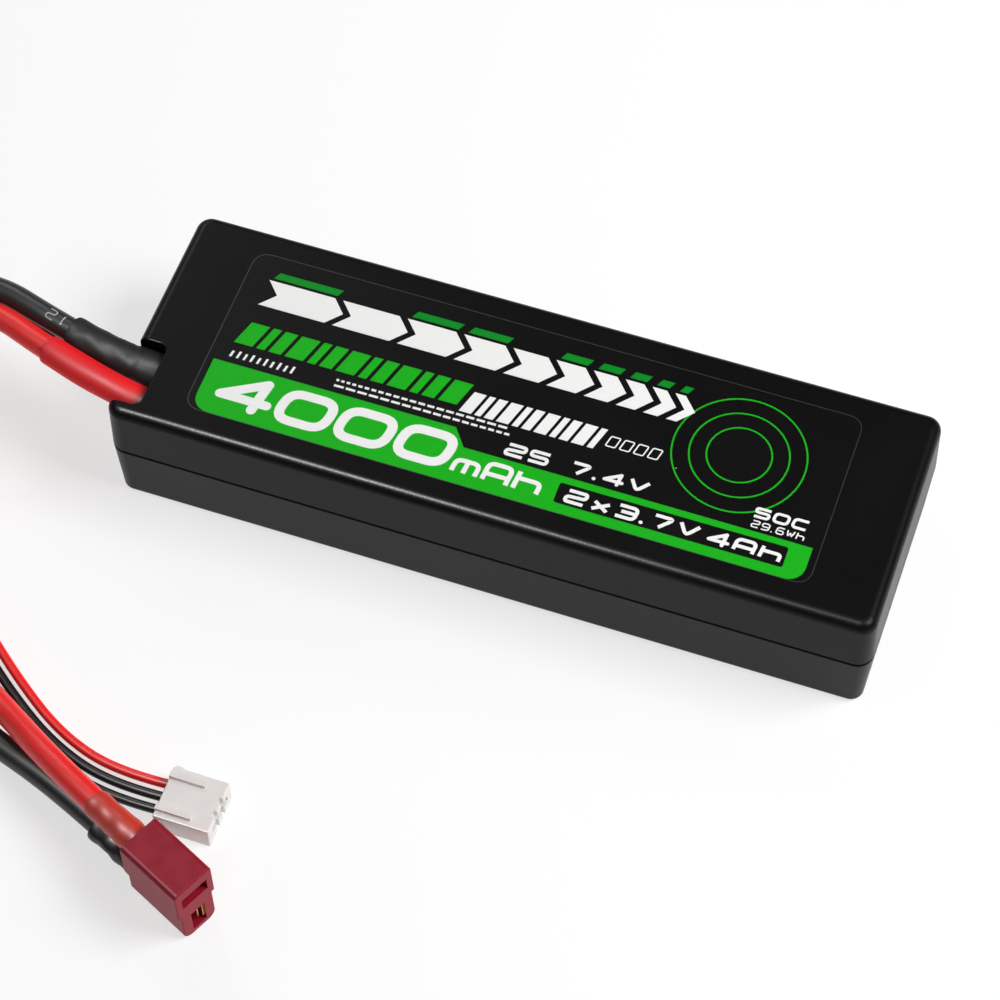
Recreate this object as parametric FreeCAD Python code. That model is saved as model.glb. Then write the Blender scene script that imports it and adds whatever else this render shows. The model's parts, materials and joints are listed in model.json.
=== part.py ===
"""Hard-cased two-cell lithium polymer pack for remote control models.

A drafted two-part case holds two stacked pouch cells, a tab board and foam.
Two silicone power leads and three thin balance leads leave through a notch
in the cover at one end and run along the surface that the pack stands on to
a T-shaped power plug and a three-way balance plug.

Millimetres. The origin is at the centre of the case's bottom face, +X runs
along the length away from the leads, +Y across the width and +Z up.
"""
import FreeCAD
import Part
import math
import os

from FreeCAD import Vector

# Case, outside
case_length = 138.0
case_width = 46.0
case_height = 25.0
parting_height = 13.3
corner_radius = 3.0
tray_draft = 0.7
cover_draft = 0.3
top_edge_radius = 1.9
bottom_edge_radius = 1.0
rim_chamfer = 0.35

# Case, inside
floor_wall = 1.5
ceiling_wall = 1.6
side_wall = 1.5
cavity_corner_radius = 1.2
tongue_height = 1.2
tongue_thickness = 0.8
tongue_gap = 0.1

# Notch for the leads, measured from the lead end and from the front side
notch_depth = 5.8
notch_front = 3.0
notch_back = 16.4
notch_corner_radius = 1.6
notch_edge_radius = 0.35

# Label
label_end_margin = 13.0
label_side_margin = 5.3
label_corner_radius = 3.0
label_recess = 0.12
label_thickness = 0.14

# Cells, which fill what the packing leaves of the cavity
cell_side_gap = 0.3
packing_roof_gap = 0.2
packing_end_gap = 0.4
cell_edge_radius = 1.4
terrace_length = 4.0
terrace_thickness = 0.4
terrace_inset = 1.0
cell_tape_thickness = 0.3
cell_tape_inset = 3.0
board_to_cell = 6.8

# Cell tabs
tab_width = 8.0
tab_thickness = 0.2
tab_spacing = 20.0
tab_leg = 3.0
tab_film_width = 10.4
tab_film_thickness = 0.5
tab_film_length = 1.4
link_thickness = 0.2
link_overlap = 1.2
link_side_inset = 0.5

# Packing
foam_bottom_thickness = 0.8
foam_top_thickness = 1.0
foam_side_inset = 1.5
foam_end_inset = 4.0
foam_to_band = 1.0
band_width = 12.0
band_thickness = 0.1
band_inset = 2.0
end_foam_thickness = 3.4
end_foam_side_inset = 2.5
insulator_thickness = 0.2
insulator_gap = 0.3

# Tab board, behind the sealant
board_to_seal = 3.6
board_thickness = 1.6
board_side_gap = 1.3
board_foot = 2.6
board_roof_gap = 0.8
pad_thickness = 0.1
pad_width = 5.2
pad_height = 5.4

# Sealant block that grips the leads behind the notch, a little proud of its wall
seal_proud = 0.3
seal_length = 3.5
seal_side_gap = 0.15
seal_foot_gap = 0.2
seal_roof_gap = 0.1

# Leads
power_lead_diameter = 4.5
core_diameter = 3.0
core_length = 1.9
solder_spread = 0.9
solder_film = 0.1
balance_lead_diameter = 1.7
entry_sleeve_red_wall = 0.65
entry_sleeve_black_wall = 0.75
entry_sleeve_red_run = 8.9
entry_sleeve_black_run = 6.1
plug_sleeve_wall = 0.75
plug_sleeve_length = 12.0
corner_share = 0.45

# How far a cut runs past a face, how deep a fused piece roots, and the least length that counts
cut_past = 1.0
root_depth = 1.0
smallest_share = 0.001

# Power plug: where its rear face stands, which way it points, and its size
power_plug_base = Vector(-34.2, -91.9, 0)
power_plug_heading = -25.0
power_plug_length = 13.0
power_plug_height = 16.0
power_plug_wide = 8.0
power_plug_narrow = 6.8
power_plug_foot_radius = 1.7
power_plug_head_radius = 0.9
power_plug_edge_radius = 0.3
socket_width = 5.4
socket_height = 2.9
socket_depth = 9.0
socket_upper = 12.0
socket_lower = 4.0
blade_thickness = 0.4
blade_width = 4.2
blade_recess = 0.4
blade_root = 0.8
blade_root_height = 1.0
blade_tail_width = 2.4
blade_tail_reach = 3.4
solder_length = 5.0
solder_diameter = 4.0
leaf_thickness = 0.2
leaf_width = 3.4
leaf_gap = 0.25
leaf_root_gap = 0.1
leaf_bow = 0.75
leaf_belly_share = 0.62
leaf_tip_lift = 0.35
leaf_tip_recess = 0.3

# Balance plug: the centre of its rear face on the floor, and its size
balance_plug_base = Vector(-36.4, -78.6, 0)
balance_pitch = 2.5
balance_ways = 3
balance_margin = 4.8
balance_plug_length = 10.0
balance_plug_height = 5.8
balance_wire_depth = 1.4
balance_socket_size = 1.5
balance_contact_size = 1.3
balance_contact_bore = 0.7
balance_contact_recess = 1.2
balance_contact_floor = 1.0
balance_rib_height = 0.7
balance_rib_width = 1.2
balance_rib_length = 6.4
balance_rib_inset = 1.1
balance_rib_sink = 0.5
balance_edge_radius = 0.25
balance_ear = 0.7
balance_ear_length = 1.4
balance_ear_base = 1.0
balance_ear_height = 1.4
balance_window_length = 2.0
balance_window_width = 1.2
balance_window_sink = 0.1
balance_step_depth = 0.7
balance_tooth_gap = 1.1

# Routes of the leads, chosen point by point
power_red_route = [
    Vector(-62.5, -16.4, 19.9),
    Vector(-70.5, -16.1, 21.6),
    Vector(-84.5, -12.0, 21.8),
    Vector(-97.5, -7.4, 20.4),
    Vector(-110.0, -7.2, 17.4),
    Vector(-118.5, -15.2, 13.8),
    Vector(-120.0, -27.5, 9.8),
    Vector(-114.0, -40.0, 5.8),
    Vector(-102.5, -51.3, 3.0),
    Vector(-87.5, -61.8, 2.4),
    Vector(-70.0, -71.4, 4.0),
    Vector(-53.2, -83.0, 11.4),
    Vector(-37.8, -90.2, 12.0),
]
power_black_route = [
    Vector(-62.5, -10.1, 20.0),
    Vector(-70.5, -9.8, 21.9),
    Vector(-84.5, -5.3, 22.0),
    Vector(-99.5, -1.6, 20.6),
    Vector(-114.0, -3.4, 16.6),
    Vector(-124.0, -14.4, 11.4),
    Vector(-125.4, -30.0, 6.4),
    Vector(-118.0, -44.6, 3.2),
    Vector(-105.5, -57.0, 2.4),
    Vector(-89.5, -67.4, 2.4),
    Vector(-72.0, -76.8, 2.4),
    Vector(-53.2, -83.0, 4.0),
    Vector(-37.8, -90.2, 4.0),
]
balance_routes = {
    "balance_lead_positive": [
        Vector(-62.5, -15.0, 15.2),
        Vector(-72.0, -12.4, 15.4),
        Vector(-84.0, -7.1, 15.2),
        Vector(-96.0, -3.6, 13.6),
        Vector(-106.0, -5.6, 10.6),
        Vector(-112.2, -14.0, 7.4),
        Vector(-112.6, -26.0, 4.4),
        Vector(-106.5, -37.2, 2.0),
        Vector(-95.4, -45.6, 0.9),
        Vector(-82.0, -54.6, 0.9),
        Vector(-69.6, -64.8, 0.9),
        Vector(-57.8, -72.6, 0.9),
        Vector(-45.6, -76.3, 1.6),
        Vector(-35.0, -76.1, 2.9),
    ],
    "balance_lead_middle": [
        Vector(-62.5, -13.0, 15.2),
        Vector(-72.0, -10.3, 15.4),
        Vector(-84.0, -5.0, 15.2),
        Vector(-96.5, -1.4, 13.6),
        Vector(-107.6, -3.8, 10.6),
        Vector(-114.3, -13.4, 7.4),
        Vector(-114.7, -26.4, 4.4),
        Vector(-108.2, -38.6, 2.0),
        Vector(-96.7, -47.4, 0.9),
        Vector(-83.3, -56.4, 0.9),
        Vector(-70.8, -66.8, 0.9),
        Vector(-58.4, -74.8, 0.9),
        Vector(-45.6, -78.8, 1.6),
        Vector(-35.0, -78.6, 2.9),
    ],
    "balance_lead_negative": [
        Vector(-62.5, -11.0, 15.2),
        Vector(-72.0, -8.2, 15.4),
        Vector(-84.0, -2.9, 15.2),
        Vector(-97.5, 0.7, 13.6),
        Vector(-109.4, -2.2, 10.6),
        Vector(-116.5, -13.0, 7.4),
        Vector(-116.8, -27.0, 4.4),
        Vector(-110.0, -40.0, 2.0),
        Vector(-98.1, -49.2, 0.9),
        Vector(-84.7, -58.1, 0.9),
        Vector(-72.1, -68.8, 0.9),
        Vector(-59.1, -77.0, 0.9),
        Vector(-45.6, -81.3, 1.6),
        Vector(-35.0, -81.1, 2.9),
    ],
}

# Worked out from the sizes above
lead_end = -case_length / 2
front_side = -case_width / 2
cavity_length = case_length - 2 * (tray_draft + side_wall)
cavity_width = case_width - 2 * (tray_draft + side_wall)
cavity_roof = case_height - ceiling_wall
cell_low_base = floor_wall + foam_bottom_thickness
cell_high_top = cavity_roof - packing_roof_gap - foam_top_thickness
cell_height = (cell_high_top - cell_low_base - cell_tape_thickness) / 2
cell_high_base = cell_high_top - cell_height
notch_wall = lead_end + notch_depth
seal_face = notch_wall - seal_proud
seal_back = seal_face + seal_length
board_face = seal_back + board_to_seal
board_back = board_face + board_thickness
board_width = cavity_width - 2 * board_side_gap
board_height = cavity_roof - board_roof_gap - board_foot
cell_face = board_back + board_to_cell
cell_end = cavity_length / 2 - packing_end_gap - end_foam_thickness
cell_length = cell_end - cell_face
cell_width = cavity_width - 2 * cell_side_gap
terrace_face = cell_face - terrace_length
label_length = case_length - 2 * label_end_margin
label_width = case_width - 2 * label_side_margin
entry_sleeve_red_diameter = power_lead_diameter + 2 * entry_sleeve_red_wall
entry_sleeve_black_diameter = power_lead_diameter + 2 * entry_sleeve_black_wall
plug_sleeve_diameter = power_lead_diameter + 2 * plug_sleeve_wall
balance_plug_width = (balance_ways - 1) * balance_pitch + balance_margin


def box(low, high):
    """Box between two opposite corners."""
    size = high.sub(low)
    return Part.makeBox(size.x, size.y, size.z, low)


def centred_box(x_low, x_high, width, z_low, z_high, y_middle=0.0):
    """Box of a given width about a line along X."""
    low = Vector(x_low, y_middle - width / 2, z_low)
    high = Vector(x_high, y_middle + width / 2, z_high)
    return box(low, high)


def rounded_outline(length, width, radius, height):
    """Closed wire of a rectangle with rounded corners, centred on Z."""
    x = length / 2
    y = width / 2
    mid = radius * (1 - math.sqrt(0.5))
    corners = [
        (Vector(x - radius, -y, height), Vector(x - mid, -y + mid, height), Vector(x, -y + radius, height)),
        (Vector(x, y - radius, height), Vector(x - mid, y - mid, height), Vector(x - radius, y, height)),
        (Vector(radius - x, y, height), Vector(mid - x, y - mid, height), Vector(-x, y - radius, height)),
        (Vector(-x, radius - y, height), Vector(mid - x, mid - y, height), Vector(radius - x, -y, height)),
    ]
    edges = []
    for index, (start, middle, end) in enumerate(corners):
        following = corners[(index + 1) % len(corners)][0]
        edges.append(Part.Arc(start, middle, end).toShape())
        edges.append(Part.LineSegment(end, following).toShape())
    return Part.Wire(edges)


def rounded_plate(length, width, radius, z_low, z_high):
    """Upright block with rounded vertical corners."""
    face = Part.Face(rounded_outline(length, width, radius, z_low))
    return face.extrude(Vector(0, 0, z_high - z_low))


def drafted_block(low_inset, high_inset, z_low, z_high):
    """Block of the case's outline that narrows by an inset at each end."""
    outlines = []
    for inset, height in ((low_inset, z_low), (high_inset, z_high)):
        length = case_length - 2 * inset
        width = case_width - 2 * inset
        outlines.append(rounded_outline(length, width, corner_radius - inset, height))
    return Part.makeLoft(outlines, True, True)


def edges_at_height(shape, height):
    """Edges that lie wholly in one horizontal plane."""
    found = []
    for edge in shape.Edges:
        bounds = edge.BoundBox
        if abs(bounds.ZMin - height) < smallest_share and abs(bounds.ZMax - height) < smallest_share:
            found.append(edge)
    return found


def notch_space(grow, z_low, z_high):
    """Space of the notch, grown on its three closed sides."""
    low = Vector(lead_end - cut_past, front_side + notch_front - grow, z_low)
    high = Vector(notch_wall + grow, front_side + notch_back + grow, z_high)
    space = box(low, high)
    inner = [edge for edge in space.Edges if is_upright(edge) and edge.BoundBox.XMin > lead_end]
    return space.makeFillet(notch_corner_radius, inner)


def is_upright(edge):
    """Whether an edge runs along Z."""
    return edge.BoundBox.ZLength > max(edge.BoundBox.XLength, edge.BoundBox.YLength)


def bottom_case():
    """Tray with a tongue round its rim, open where the leads leave."""
    outer = drafted_block(tray_draft, 0, 0, parting_height)
    outer = outer.makeFillet(bottom_edge_radius, edges_at_height(outer, 0))
    outer = outer.makeChamfer(rim_chamfer, edges_at_height(outer, parting_height))
    cavity = rounded_plate(cavity_length, cavity_width, cavity_corner_radius, floor_wall, case_height)
    tongue = rounded_plate(
        cavity_length + 2 * tongue_thickness,
        cavity_width + 2 * tongue_thickness,
        cavity_corner_radius + tongue_thickness,
        parting_height - root_depth,
        parting_height + tongue_height,
    )
    tongue = tongue.cut(notch_space(tongue_gap, parting_height, case_height))
    return outer.fuse(tongue).cut(cavity).removeSplitter()


def top_case():
    """Cover with a groove for the tray's tongue, a label recess and the notch."""
    outer = drafted_block(0, cover_draft, parting_height, case_height)
    outer = outer.makeFillet(top_edge_radius, edges_at_height(outer, case_height))
    outer = outer.makeChamfer(rim_chamfer, edges_at_height(outer, parting_height))
    cavity = rounded_plate(cavity_length, cavity_width, cavity_corner_radius, parting_height, cavity_roof)
    groove_reach = 2 * (tongue_thickness + tongue_gap)
    groove = rounded_plate(
        cavity_length + groove_reach,
        cavity_width + groove_reach,
        cavity_corner_radius + groove_reach / 2,
        parting_height,
        parting_height + tongue_height + tongue_gap,
    )
    past = case_height + cut_past
    recess = rounded_plate(label_length, label_width, label_corner_radius, case_height - label_recess, past)
    cover = outer.cut(cavity).cut(groove).cut(recess)
    cover = cover.cut(notch_space(0, parting_height - cut_past, past))
    return cover.makeFillet(notch_edge_radius, notch_top_edges(cover))


def notch_top_edges(cover):
    """Edges where the notch's walls meet the cover's flat top."""
    found = []
    end = notch_wall + smallest_share
    back = front_side + notch_back + smallest_share
    for edge in edges_at_height(cover, case_height):
        if edge.BoundBox.XMax < end and edge.BoundBox.YMax < back:
            found.append(edge)
    return found


def top_label():
    """Printed film in the cover's recess."""
    seat = case_height - label_recess
    return rounded_plate(label_length, label_width, label_corner_radius, seat, seat + label_thickness)


def pouch_cell(base):
    """Soft pouch with its thin sealed terrace at the tab end."""
    body = centred_box(cell_face, cell_end, cell_width, base, base + cell_height)
    long_edges = [edge for edge in body.Edges if edge.BoundBox.XLength > cell_length / 2]
    body = body.makeFillet(cell_edge_radius, long_edges)
    middle = base + cell_height / 2
    terrace = centred_box(
        terrace_face,
        cell_face + root_depth,
        cell_width - 2 * terrace_inset,
        middle - terrace_thickness / 2,
        middle + terrace_thickness / 2,
    )
    return body.fuse(terrace).removeSplitter()


def cell_tab(base, side, direction):
    """Metal tab that leaves the terrace and bends along the board's back."""
    middle = base + cell_height / 2
    y = side * tab_spacing / 2
    half = tab_thickness / 2
    flat = centred_box(board_back, terrace_face, tab_width, middle - half, middle + half, y)
    leg_ends = sorted([middle - direction * half, middle + direction * tab_leg])
    leg = centred_box(board_back, board_back + tab_thickness, tab_width, leg_ends[0], leg_ends[1], y)
    return flat.fuse(leg).removeSplitter()


def tab_film(base, side):
    """Sealing film round a tab, against the terrace."""
    middle = base + cell_height / 2
    y = side * tab_spacing / 2
    half = tab_film_thickness / 2
    film = centred_box(
        terrace_face - tab_film_length, terrace_face, tab_film_width, middle - half, middle + half, y
    )
    gap = tab_thickness / 2
    start = terrace_face - tab_film_length - cut_past
    slit = centred_box(start, terrace_face + cut_past, tab_width, middle - gap, middle + gap, y)
    return film.cut(slit)


def series_link():
    """Strip that joins the inner tabs of the two cells."""
    low = cell_low_base + cell_height / 2 + tab_leg - link_overlap
    high = cell_high_base + cell_height / 2 - tab_leg + link_overlap
    face = board_back + tab_thickness
    width = tab_width - 2 * link_side_inset
    return centred_box(face, face + link_thickness, width, low, high, tab_spacing / 2)


def tab_insulator():
    """Fibre sheet between the upper and lower tabs."""
    level = cell_low_base + cell_height + cell_tape_thickness / 2
    half = insulator_thickness / 2
    start = board_back + tab_thickness + link_thickness + insulator_gap
    end = cell_face + cell_tape_inset
    return centred_box(start, end, cell_width - 2 * cell_tape_inset, level - half, level + half)


def cell_tape():
    """Double-sided tape between the two cells."""
    return centred_box(
        cell_face + cell_tape_inset,
        cell_end - cell_tape_inset,
        cell_width - 2 * cell_tape_inset,
        cell_low_base + cell_height,
        cell_high_base,
    )


def cell_band():
    """Thin polyimide band round both cells near the tab end."""
    start = cell_face + band_inset
    outer = centred_box(
        start,
        start + band_width,
        cell_width + 2 * band_thickness,
        cell_low_base - band_thickness,
        cell_high_top + band_thickness,
    )
    end = start + band_width + cut_past
    inner = centred_box(start - cut_past, end, cell_width, cell_low_base, cell_high_top)
    return outer.cut(inner)


def flat_foam(z_low, thickness):
    """Foam sheet above or below the cells."""
    start = cell_face + band_inset + band_width + foam_to_band
    width = cell_width - 2 * foam_side_inset
    return centred_box(start, cell_end - foam_end_inset, width, z_low, z_low + thickness)


def end_foam():
    """Foam block between the cells and the closed end."""
    width = cell_width - 2 * end_foam_side_inset
    return centred_box(cell_end, cell_end + end_foam_thickness, width, cell_low_base, cell_high_top)


def tab_board():
    """Glass-epoxy board across the tab end."""
    return centred_box(board_face, board_back, board_width, board_foot, board_foot + board_height)


def board_pad(route):
    """Copper pad on the board's face, in line with one power lead."""
    seat = inner_end(route)
    low = seat.z - pad_height / 2
    high = seat.z + pad_height / 2
    return centred_box(board_face - pad_thickness, board_face, pad_width, low, high, seat.y)


def inner_end(route):
    """Point of a lead's route where it enters the seal."""
    return route[0]


def round_bar(start_x, end_x, diameter, seat):
    """Round bar along X, level with a point."""
    return Part.makeCylinder(diameter / 2, end_x - start_x, Vector(start_x, seat.y, seat.z), Vector(1, 0, 0))


def inner_lead(route):
    """Insulated stretch of a power lead between the seal and its bare core."""
    end = board_face - pad_thickness - core_length
    return round_bar(seal_back, end, power_lead_diameter, inner_end(route))


def lead_core(route):
    """Tinned bare strands between the insulation and the pad."""
    end = board_face - pad_thickness
    return round_bar(end - core_length, end, core_diameter, inner_end(route))


def pad_solder(route):
    """Solder fillet round a core at its pad."""
    seat = inner_end(route)
    end = board_face - pad_thickness
    start = end - solder_spread
    small = core_diameter / 2 + solder_film
    cone = Part.makeCone(
        small, small + solder_spread, solder_spread, Vector(start, seat.y, seat.z), Vector(1, 0, 0)
    )
    return cone.cut(lead_core(route))


def inner_balance_lead(route):
    """Thin lead between the seal and the board."""
    return round_bar(seal_back, board_face, balance_lead_diameter, inner_end(route))


def rounded_route(points):
    """Straight runs joined by tangent arcs, the radii, and the line's length."""
    edges = []
    radii = []
    start = points[0]
    for before, corner, after in zip(points, points[1:], points[2:]):
        back = before.sub(corner)
        ahead = after.sub(corner)
        trim = corner_share * min(back.Length, ahead.Length)
        half_turn = (math.pi - back.getAngle(ahead)) / 2
        radius = trim / math.tan(half_turn)
        back.normalize()
        ahead.normalize()
        inward = back.add(ahead).normalize()
        arc_start = corner.add(back * trim)
        arc_end = corner.add(ahead * trim)
        arc_middle = corner.add(inward * (radius / math.cos(half_turn) - radius))
        edges.append(Part.LineSegment(start, arc_start).toShape())
        edges.append(Part.Arc(arc_start, arc_middle, arc_end).toShape())
        radii.append(radius)
        start = arc_end
    edges.append(Part.LineSegment(start, points[-1]).toShape())
    return edges, radii


def tube(edges, diameter):
    """Round solid along a chain of tangent edges."""
    path = Part.Wire(edges)
    start = edges[0].Vertexes[0].Point
    direction = edges[0].tangentAt(edges[0].FirstParameter)
    circle = Part.Wire(Part.makeCircle(diameter / 2, start, direction))
    return path.makePipeShell([circle], True, False)


def report_lead(name, edges, radii, diameter, solid):
    """Print a lead's length, radii and how its volume compares with its length."""
    length = sum(edge.Length for edge in edges)
    expected = math.pi * diameter ** 2 / 4 * length
    print(name, "length", round(length, 1), "volume ratio", round(solid.Volume / expected, 4))
    print("  radii", [round(radius, 1) for radius in radii])


def make_lead(name, route, diameter):
    """Solid of one lead along its route."""
    edges, radii = rounded_route(route)
    solid = tube(edges, diameter)
    report_lead(name, edges, radii, diameter, solid)
    return solid


def entry_sleeve(route, lead, diameter, run):
    """Shrink sleeve over a lead's first run, its bend and part of the next run."""
    edges, _ = rounded_route(route)
    next_run = edges[2]
    start = next_run.Vertexes[0].Point
    direction = next_run.tangentAt(next_run.FirstParameter)
    end = start.add(direction * run)
    covered = [edges[0], edges[1], Part.LineSegment(start, end).toShape()]
    return tube(covered, diameter).cut(lead)


def lead_seal(passing):
    """Sealant block under the cover's roof, shaped round everything in it."""
    low = Vector(seal_face, front_side + notch_front + seal_side_gap, parting_height + seal_foot_gap)
    high = Vector(seal_back, front_side + notch_back - seal_side_gap, cavity_roof - seal_roof_gap)
    block = box(low, high)
    for solid in passing:
        block = block.cut(solid)
    return block


def placed_power_plug(shape):
    """Turn and move a shape from the power plug's own frame to where it lies."""
    moved = shape.copy()
    moved.rotate(Vector(0, 0, 0), Vector(0, 0, 1), power_plug_heading)
    moved.translate(power_plug_base)
    return moved


def at_socket(shape, level, turned):
    """Move a shape from a socket's axis to the plug, turned a quarter if asked."""
    moved = shape.copy()
    if turned:
        moved.rotate(Vector(0, 0, 0), Vector(1, 0, 0), -90)
    moved.translate(Vector(0, 0, level))
    return moved


def socket_space():
    """Rectangular socket round its own axis, with the blade's way out at the rear."""
    start = power_plug_length - socket_depth
    high = socket_height / 2
    hollow = centred_box(start, power_plug_length + cut_past, socket_width, -high, high)
    tail = centred_box(-cut_past, start, blade_tail_width, high - blade_thickness, high)
    return hollow.fuse(tail)


def plug_contact():
    """Flat blade along the socket's roof, with a folded root and a solder tail."""
    start = power_plug_length - socket_depth
    high = socket_height / 2
    low = high - blade_thickness
    blade = centred_box(start, power_plug_length - blade_recess, blade_width, low, high)
    root = centred_box(start, start + blade_root, leaf_width, low - blade_root_height, high)
    tail = centred_box(-blade_tail_reach, start, blade_tail_width, low, high)
    return blade.fuse(root).fuse(tail).removeSplitter()


def contact_leaf():
    """Bowed spring leaf under the blade, ahead of its folded root."""
    top = socket_height / 2 - blade_thickness - leaf_gap
    start = power_plug_length - socket_depth + blade_root + leaf_root_gap
    end = power_plug_length - blade_recess - leaf_tip_recess
    belly = start + leaf_belly_share * (end - start)
    upper = Part.Arc(
        Vector(start, 0, top),
        Vector(belly, 0, top - leaf_bow),
        Vector(end, 0, top - leaf_bow + leaf_tip_lift),
    ).toShape()
    lower = upper.copy()
    lower.translate(Vector(0, 0, -leaf_thickness))
    tip = Part.LineSegment(upper.Vertexes[1].Point, lower.Vertexes[1].Point).toShape()
    root = Part.LineSegment(lower.Vertexes[0].Point, upper.Vertexes[0].Point).toShape()
    profile = Part.Face(Part.Wire([upper, tip, lower, root]))
    profile.translate(Vector(0, -leaf_width / 2, 0))
    return profile.extrude(Vector(0, leaf_width, 0))


def leaf_root():
    """Point about which a leaf bends, on its socket's axis."""
    return Vector(
        power_plug_length - socket_depth + blade_root + leaf_root_gap,
        0,
        socket_height / 2 - blade_thickness - leaf_gap - leaf_thickness / 2,
    )


def power_plug_body():
    """T-shaped nylon shell: a wide upper half and a narrow foot, with two sockets."""
    half = power_plug_height / 2
    wide = centred_box(0, power_plug_length, power_plug_wide, half, power_plug_height)
    narrow = centred_box(0, power_plug_length, power_plug_narrow, 0, half)
    shell = wide.fuse(narrow).removeSplitter()
    shell = shell.makeFillet(power_plug_foot_radius, long_edges_at(shell, 0))
    shell = shell.makeFillet(power_plug_head_radius, long_edges_at(shell, power_plug_height))
    rim = [edge for edge in shell.Edges if abs(edge.BoundBox.XMin - power_plug_length) < smallest_share]
    shell = shell.makeFillet(power_plug_edge_radius, rim)
    shell = shell.cut(at_socket(socket_space(), socket_upper, False))
    return shell.cut(at_socket(socket_space(), socket_lower, True))


def long_edges_at(shape, height):
    """Edges along X at one height."""
    return [edge for edge in edges_at_height(shape, height) if edge.BoundBox.XLength > 1]


def plug_solder(level, contact, lead):
    """Solder joint between a contact's tail and its lead."""
    start = Vector(-solder_length, 0, level)
    joint = Part.makeCylinder(solder_diameter / 2, solder_length, start, Vector(1, 0, 0))
    return placed_power_plug(joint).cut(contact).cut(lead)


def plug_sleeve(route, parts_inside, body):
    """Shrink sleeve over a lead's end and its solder joint, up to the plug."""
    end = route[-1]
    direction = end.sub(route[-2]).normalize()
    start = end.sub(direction * (plug_sleeve_length - solder_length))
    sleeve = Part.makeCylinder(plug_sleeve_diameter / 2, plug_sleeve_length, start, direction)
    for solid in parts_inside:
        sleeve = sleeve.cut(solid)
    sleeve = sleeve.cut(body)
    return max(sleeve.Solids, key=lambda solid: solid.Volume)


def balance_way_offsets():
    """Sideways place of each way of the balance plug."""
    middle = (balance_ways - 1) / 2
    return [(index - middle) * balance_pitch for index in range(balance_ways)]


def placed_balance_plug(shape):
    """Move a shape from the balance plug's own frame to where it lies."""
    moved = shape.copy()
    moved.translate(balance_plug_base)
    return moved


def balance_level():
    """Height of the balance plug's contacts."""
    return balance_plug_height / 2


def balance_block():
    """Outer block of the balance plug with its keying ribs and end ears."""
    width = balance_plug_width
    high = balance_plug_height
    top = high - balance_rib_height
    block = centred_box(0, balance_plug_length, width, 0, top)
    block = block.makeFillet(balance_edge_radius, block.Edges)
    rib_base = top - balance_rib_sink
    ear_top = balance_ear_base + balance_ear_height
    for side in (-1, 1):
        rib = side * ((width - balance_rib_width) / 2 - balance_rib_inset)
        block = block.fuse(centred_box(0, balance_rib_length, balance_rib_width, rib_base, high, rib))
        ear = side * width / 2
        for base in (balance_ear_base, top - ear_top):
            ear_high = base + balance_ear_height
            block = block.fuse(centred_box(0, balance_ear_length, 2 * balance_ear, base, ear_high, ear))
    return block


def balance_plug_housing(leads):
    """Nylon housing with sockets, lance windows on its underside and a toothed face."""
    past = balance_plug_length + cut_past
    shell = balance_block()
    half = balance_socket_size / 2
    low = balance_level() - half
    high = balance_level() + half
    sill = low + balance_window_sink
    window = balance_plug_length / 2
    window_end = window + balance_window_length
    step = balance_plug_length - balance_step_depth
    for y in balance_way_offsets():
        shell = shell.cut(centred_box(balance_wire_depth, past, balance_socket_size, low, high, y))
        shell = shell.cut(centred_box(window, window_end, balance_window_width, -cut_past, sill, y))
    for y in (-balance_pitch / 2, balance_pitch / 2):
        shell = shell.cut(
            centred_box(step, past, balance_tooth_gap, -cut_past, balance_plug_height + cut_past, y)
        )
    shell = placed_balance_plug(shell)
    for lead in leads:
        shell = shell.cut(lead)
    return shell.removeSplitter()


def balance_contact(offset, lead):
    """Square socket contact of one way, behind the housing's face."""
    size = balance_contact_size
    start = balance_wire_depth
    end = balance_plug_length - balance_contact_recess
    level = balance_level()
    barrel = centred_box(start, end, size, level - size / 2, level + size / 2, offset)
    bore_start = Vector(start + balance_contact_floor, offset, level)
    bore = Part.makeCylinder(balance_contact_bore / 2, end, bore_start, Vector(1, 0, 0))
    return placed_balance_plug(barrel.cut(bore)).cut(lead)


def case_nodes():
    """The shell, its label and the packing."""
    return {
        "bottom_case": bottom_case(),
        "top_case": top_case(),
        "top_label": top_label(),
        "foam_bottom": flat_foam(floor_wall, foam_bottom_thickness),
        "foam_top": flat_foam(cell_high_top, foam_top_thickness),
        "foam_end": end_foam(),
    }


def cell_nodes():
    """The two cells with their tabs, films, tape, band, link and insulator."""
    nodes = {
        "cell_lower": pouch_cell(cell_low_base),
        "cell_upper": pouch_cell(cell_high_base),
        "cell_tape": cell_tape(),
        "cell_band": cell_band(),
        "series_link": series_link(),
        "tab_insulator": tab_insulator(),
    }
    for name, base, direction in (("lower", cell_low_base, 1), ("upper", cell_high_base, -1)):
        for end, side in (("outer", -1), ("inner", 1)):
            nodes["tab_" + name + "_" + end] = cell_tab(base, side, direction)
            nodes["tab_film_" + name + "_" + end] = tab_film(base, side)
    return nodes


def board_nodes():
    """The tab board and what is soldered to it."""
    nodes = {"tab_board": tab_board()}
    for colour, route in (("red", power_red_route), ("black", power_black_route)):
        nodes["board_pad_" + colour] = board_pad(route)
        nodes["lead_core_" + colour] = lead_core(route)
        nodes["board_solder_" + colour] = pad_solder(route)
        nodes["inner_lead_" + colour] = inner_lead(route)
    for name, route in balance_routes.items():
        nodes["inner_" + name] = inner_balance_lead(route)
    return nodes


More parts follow.
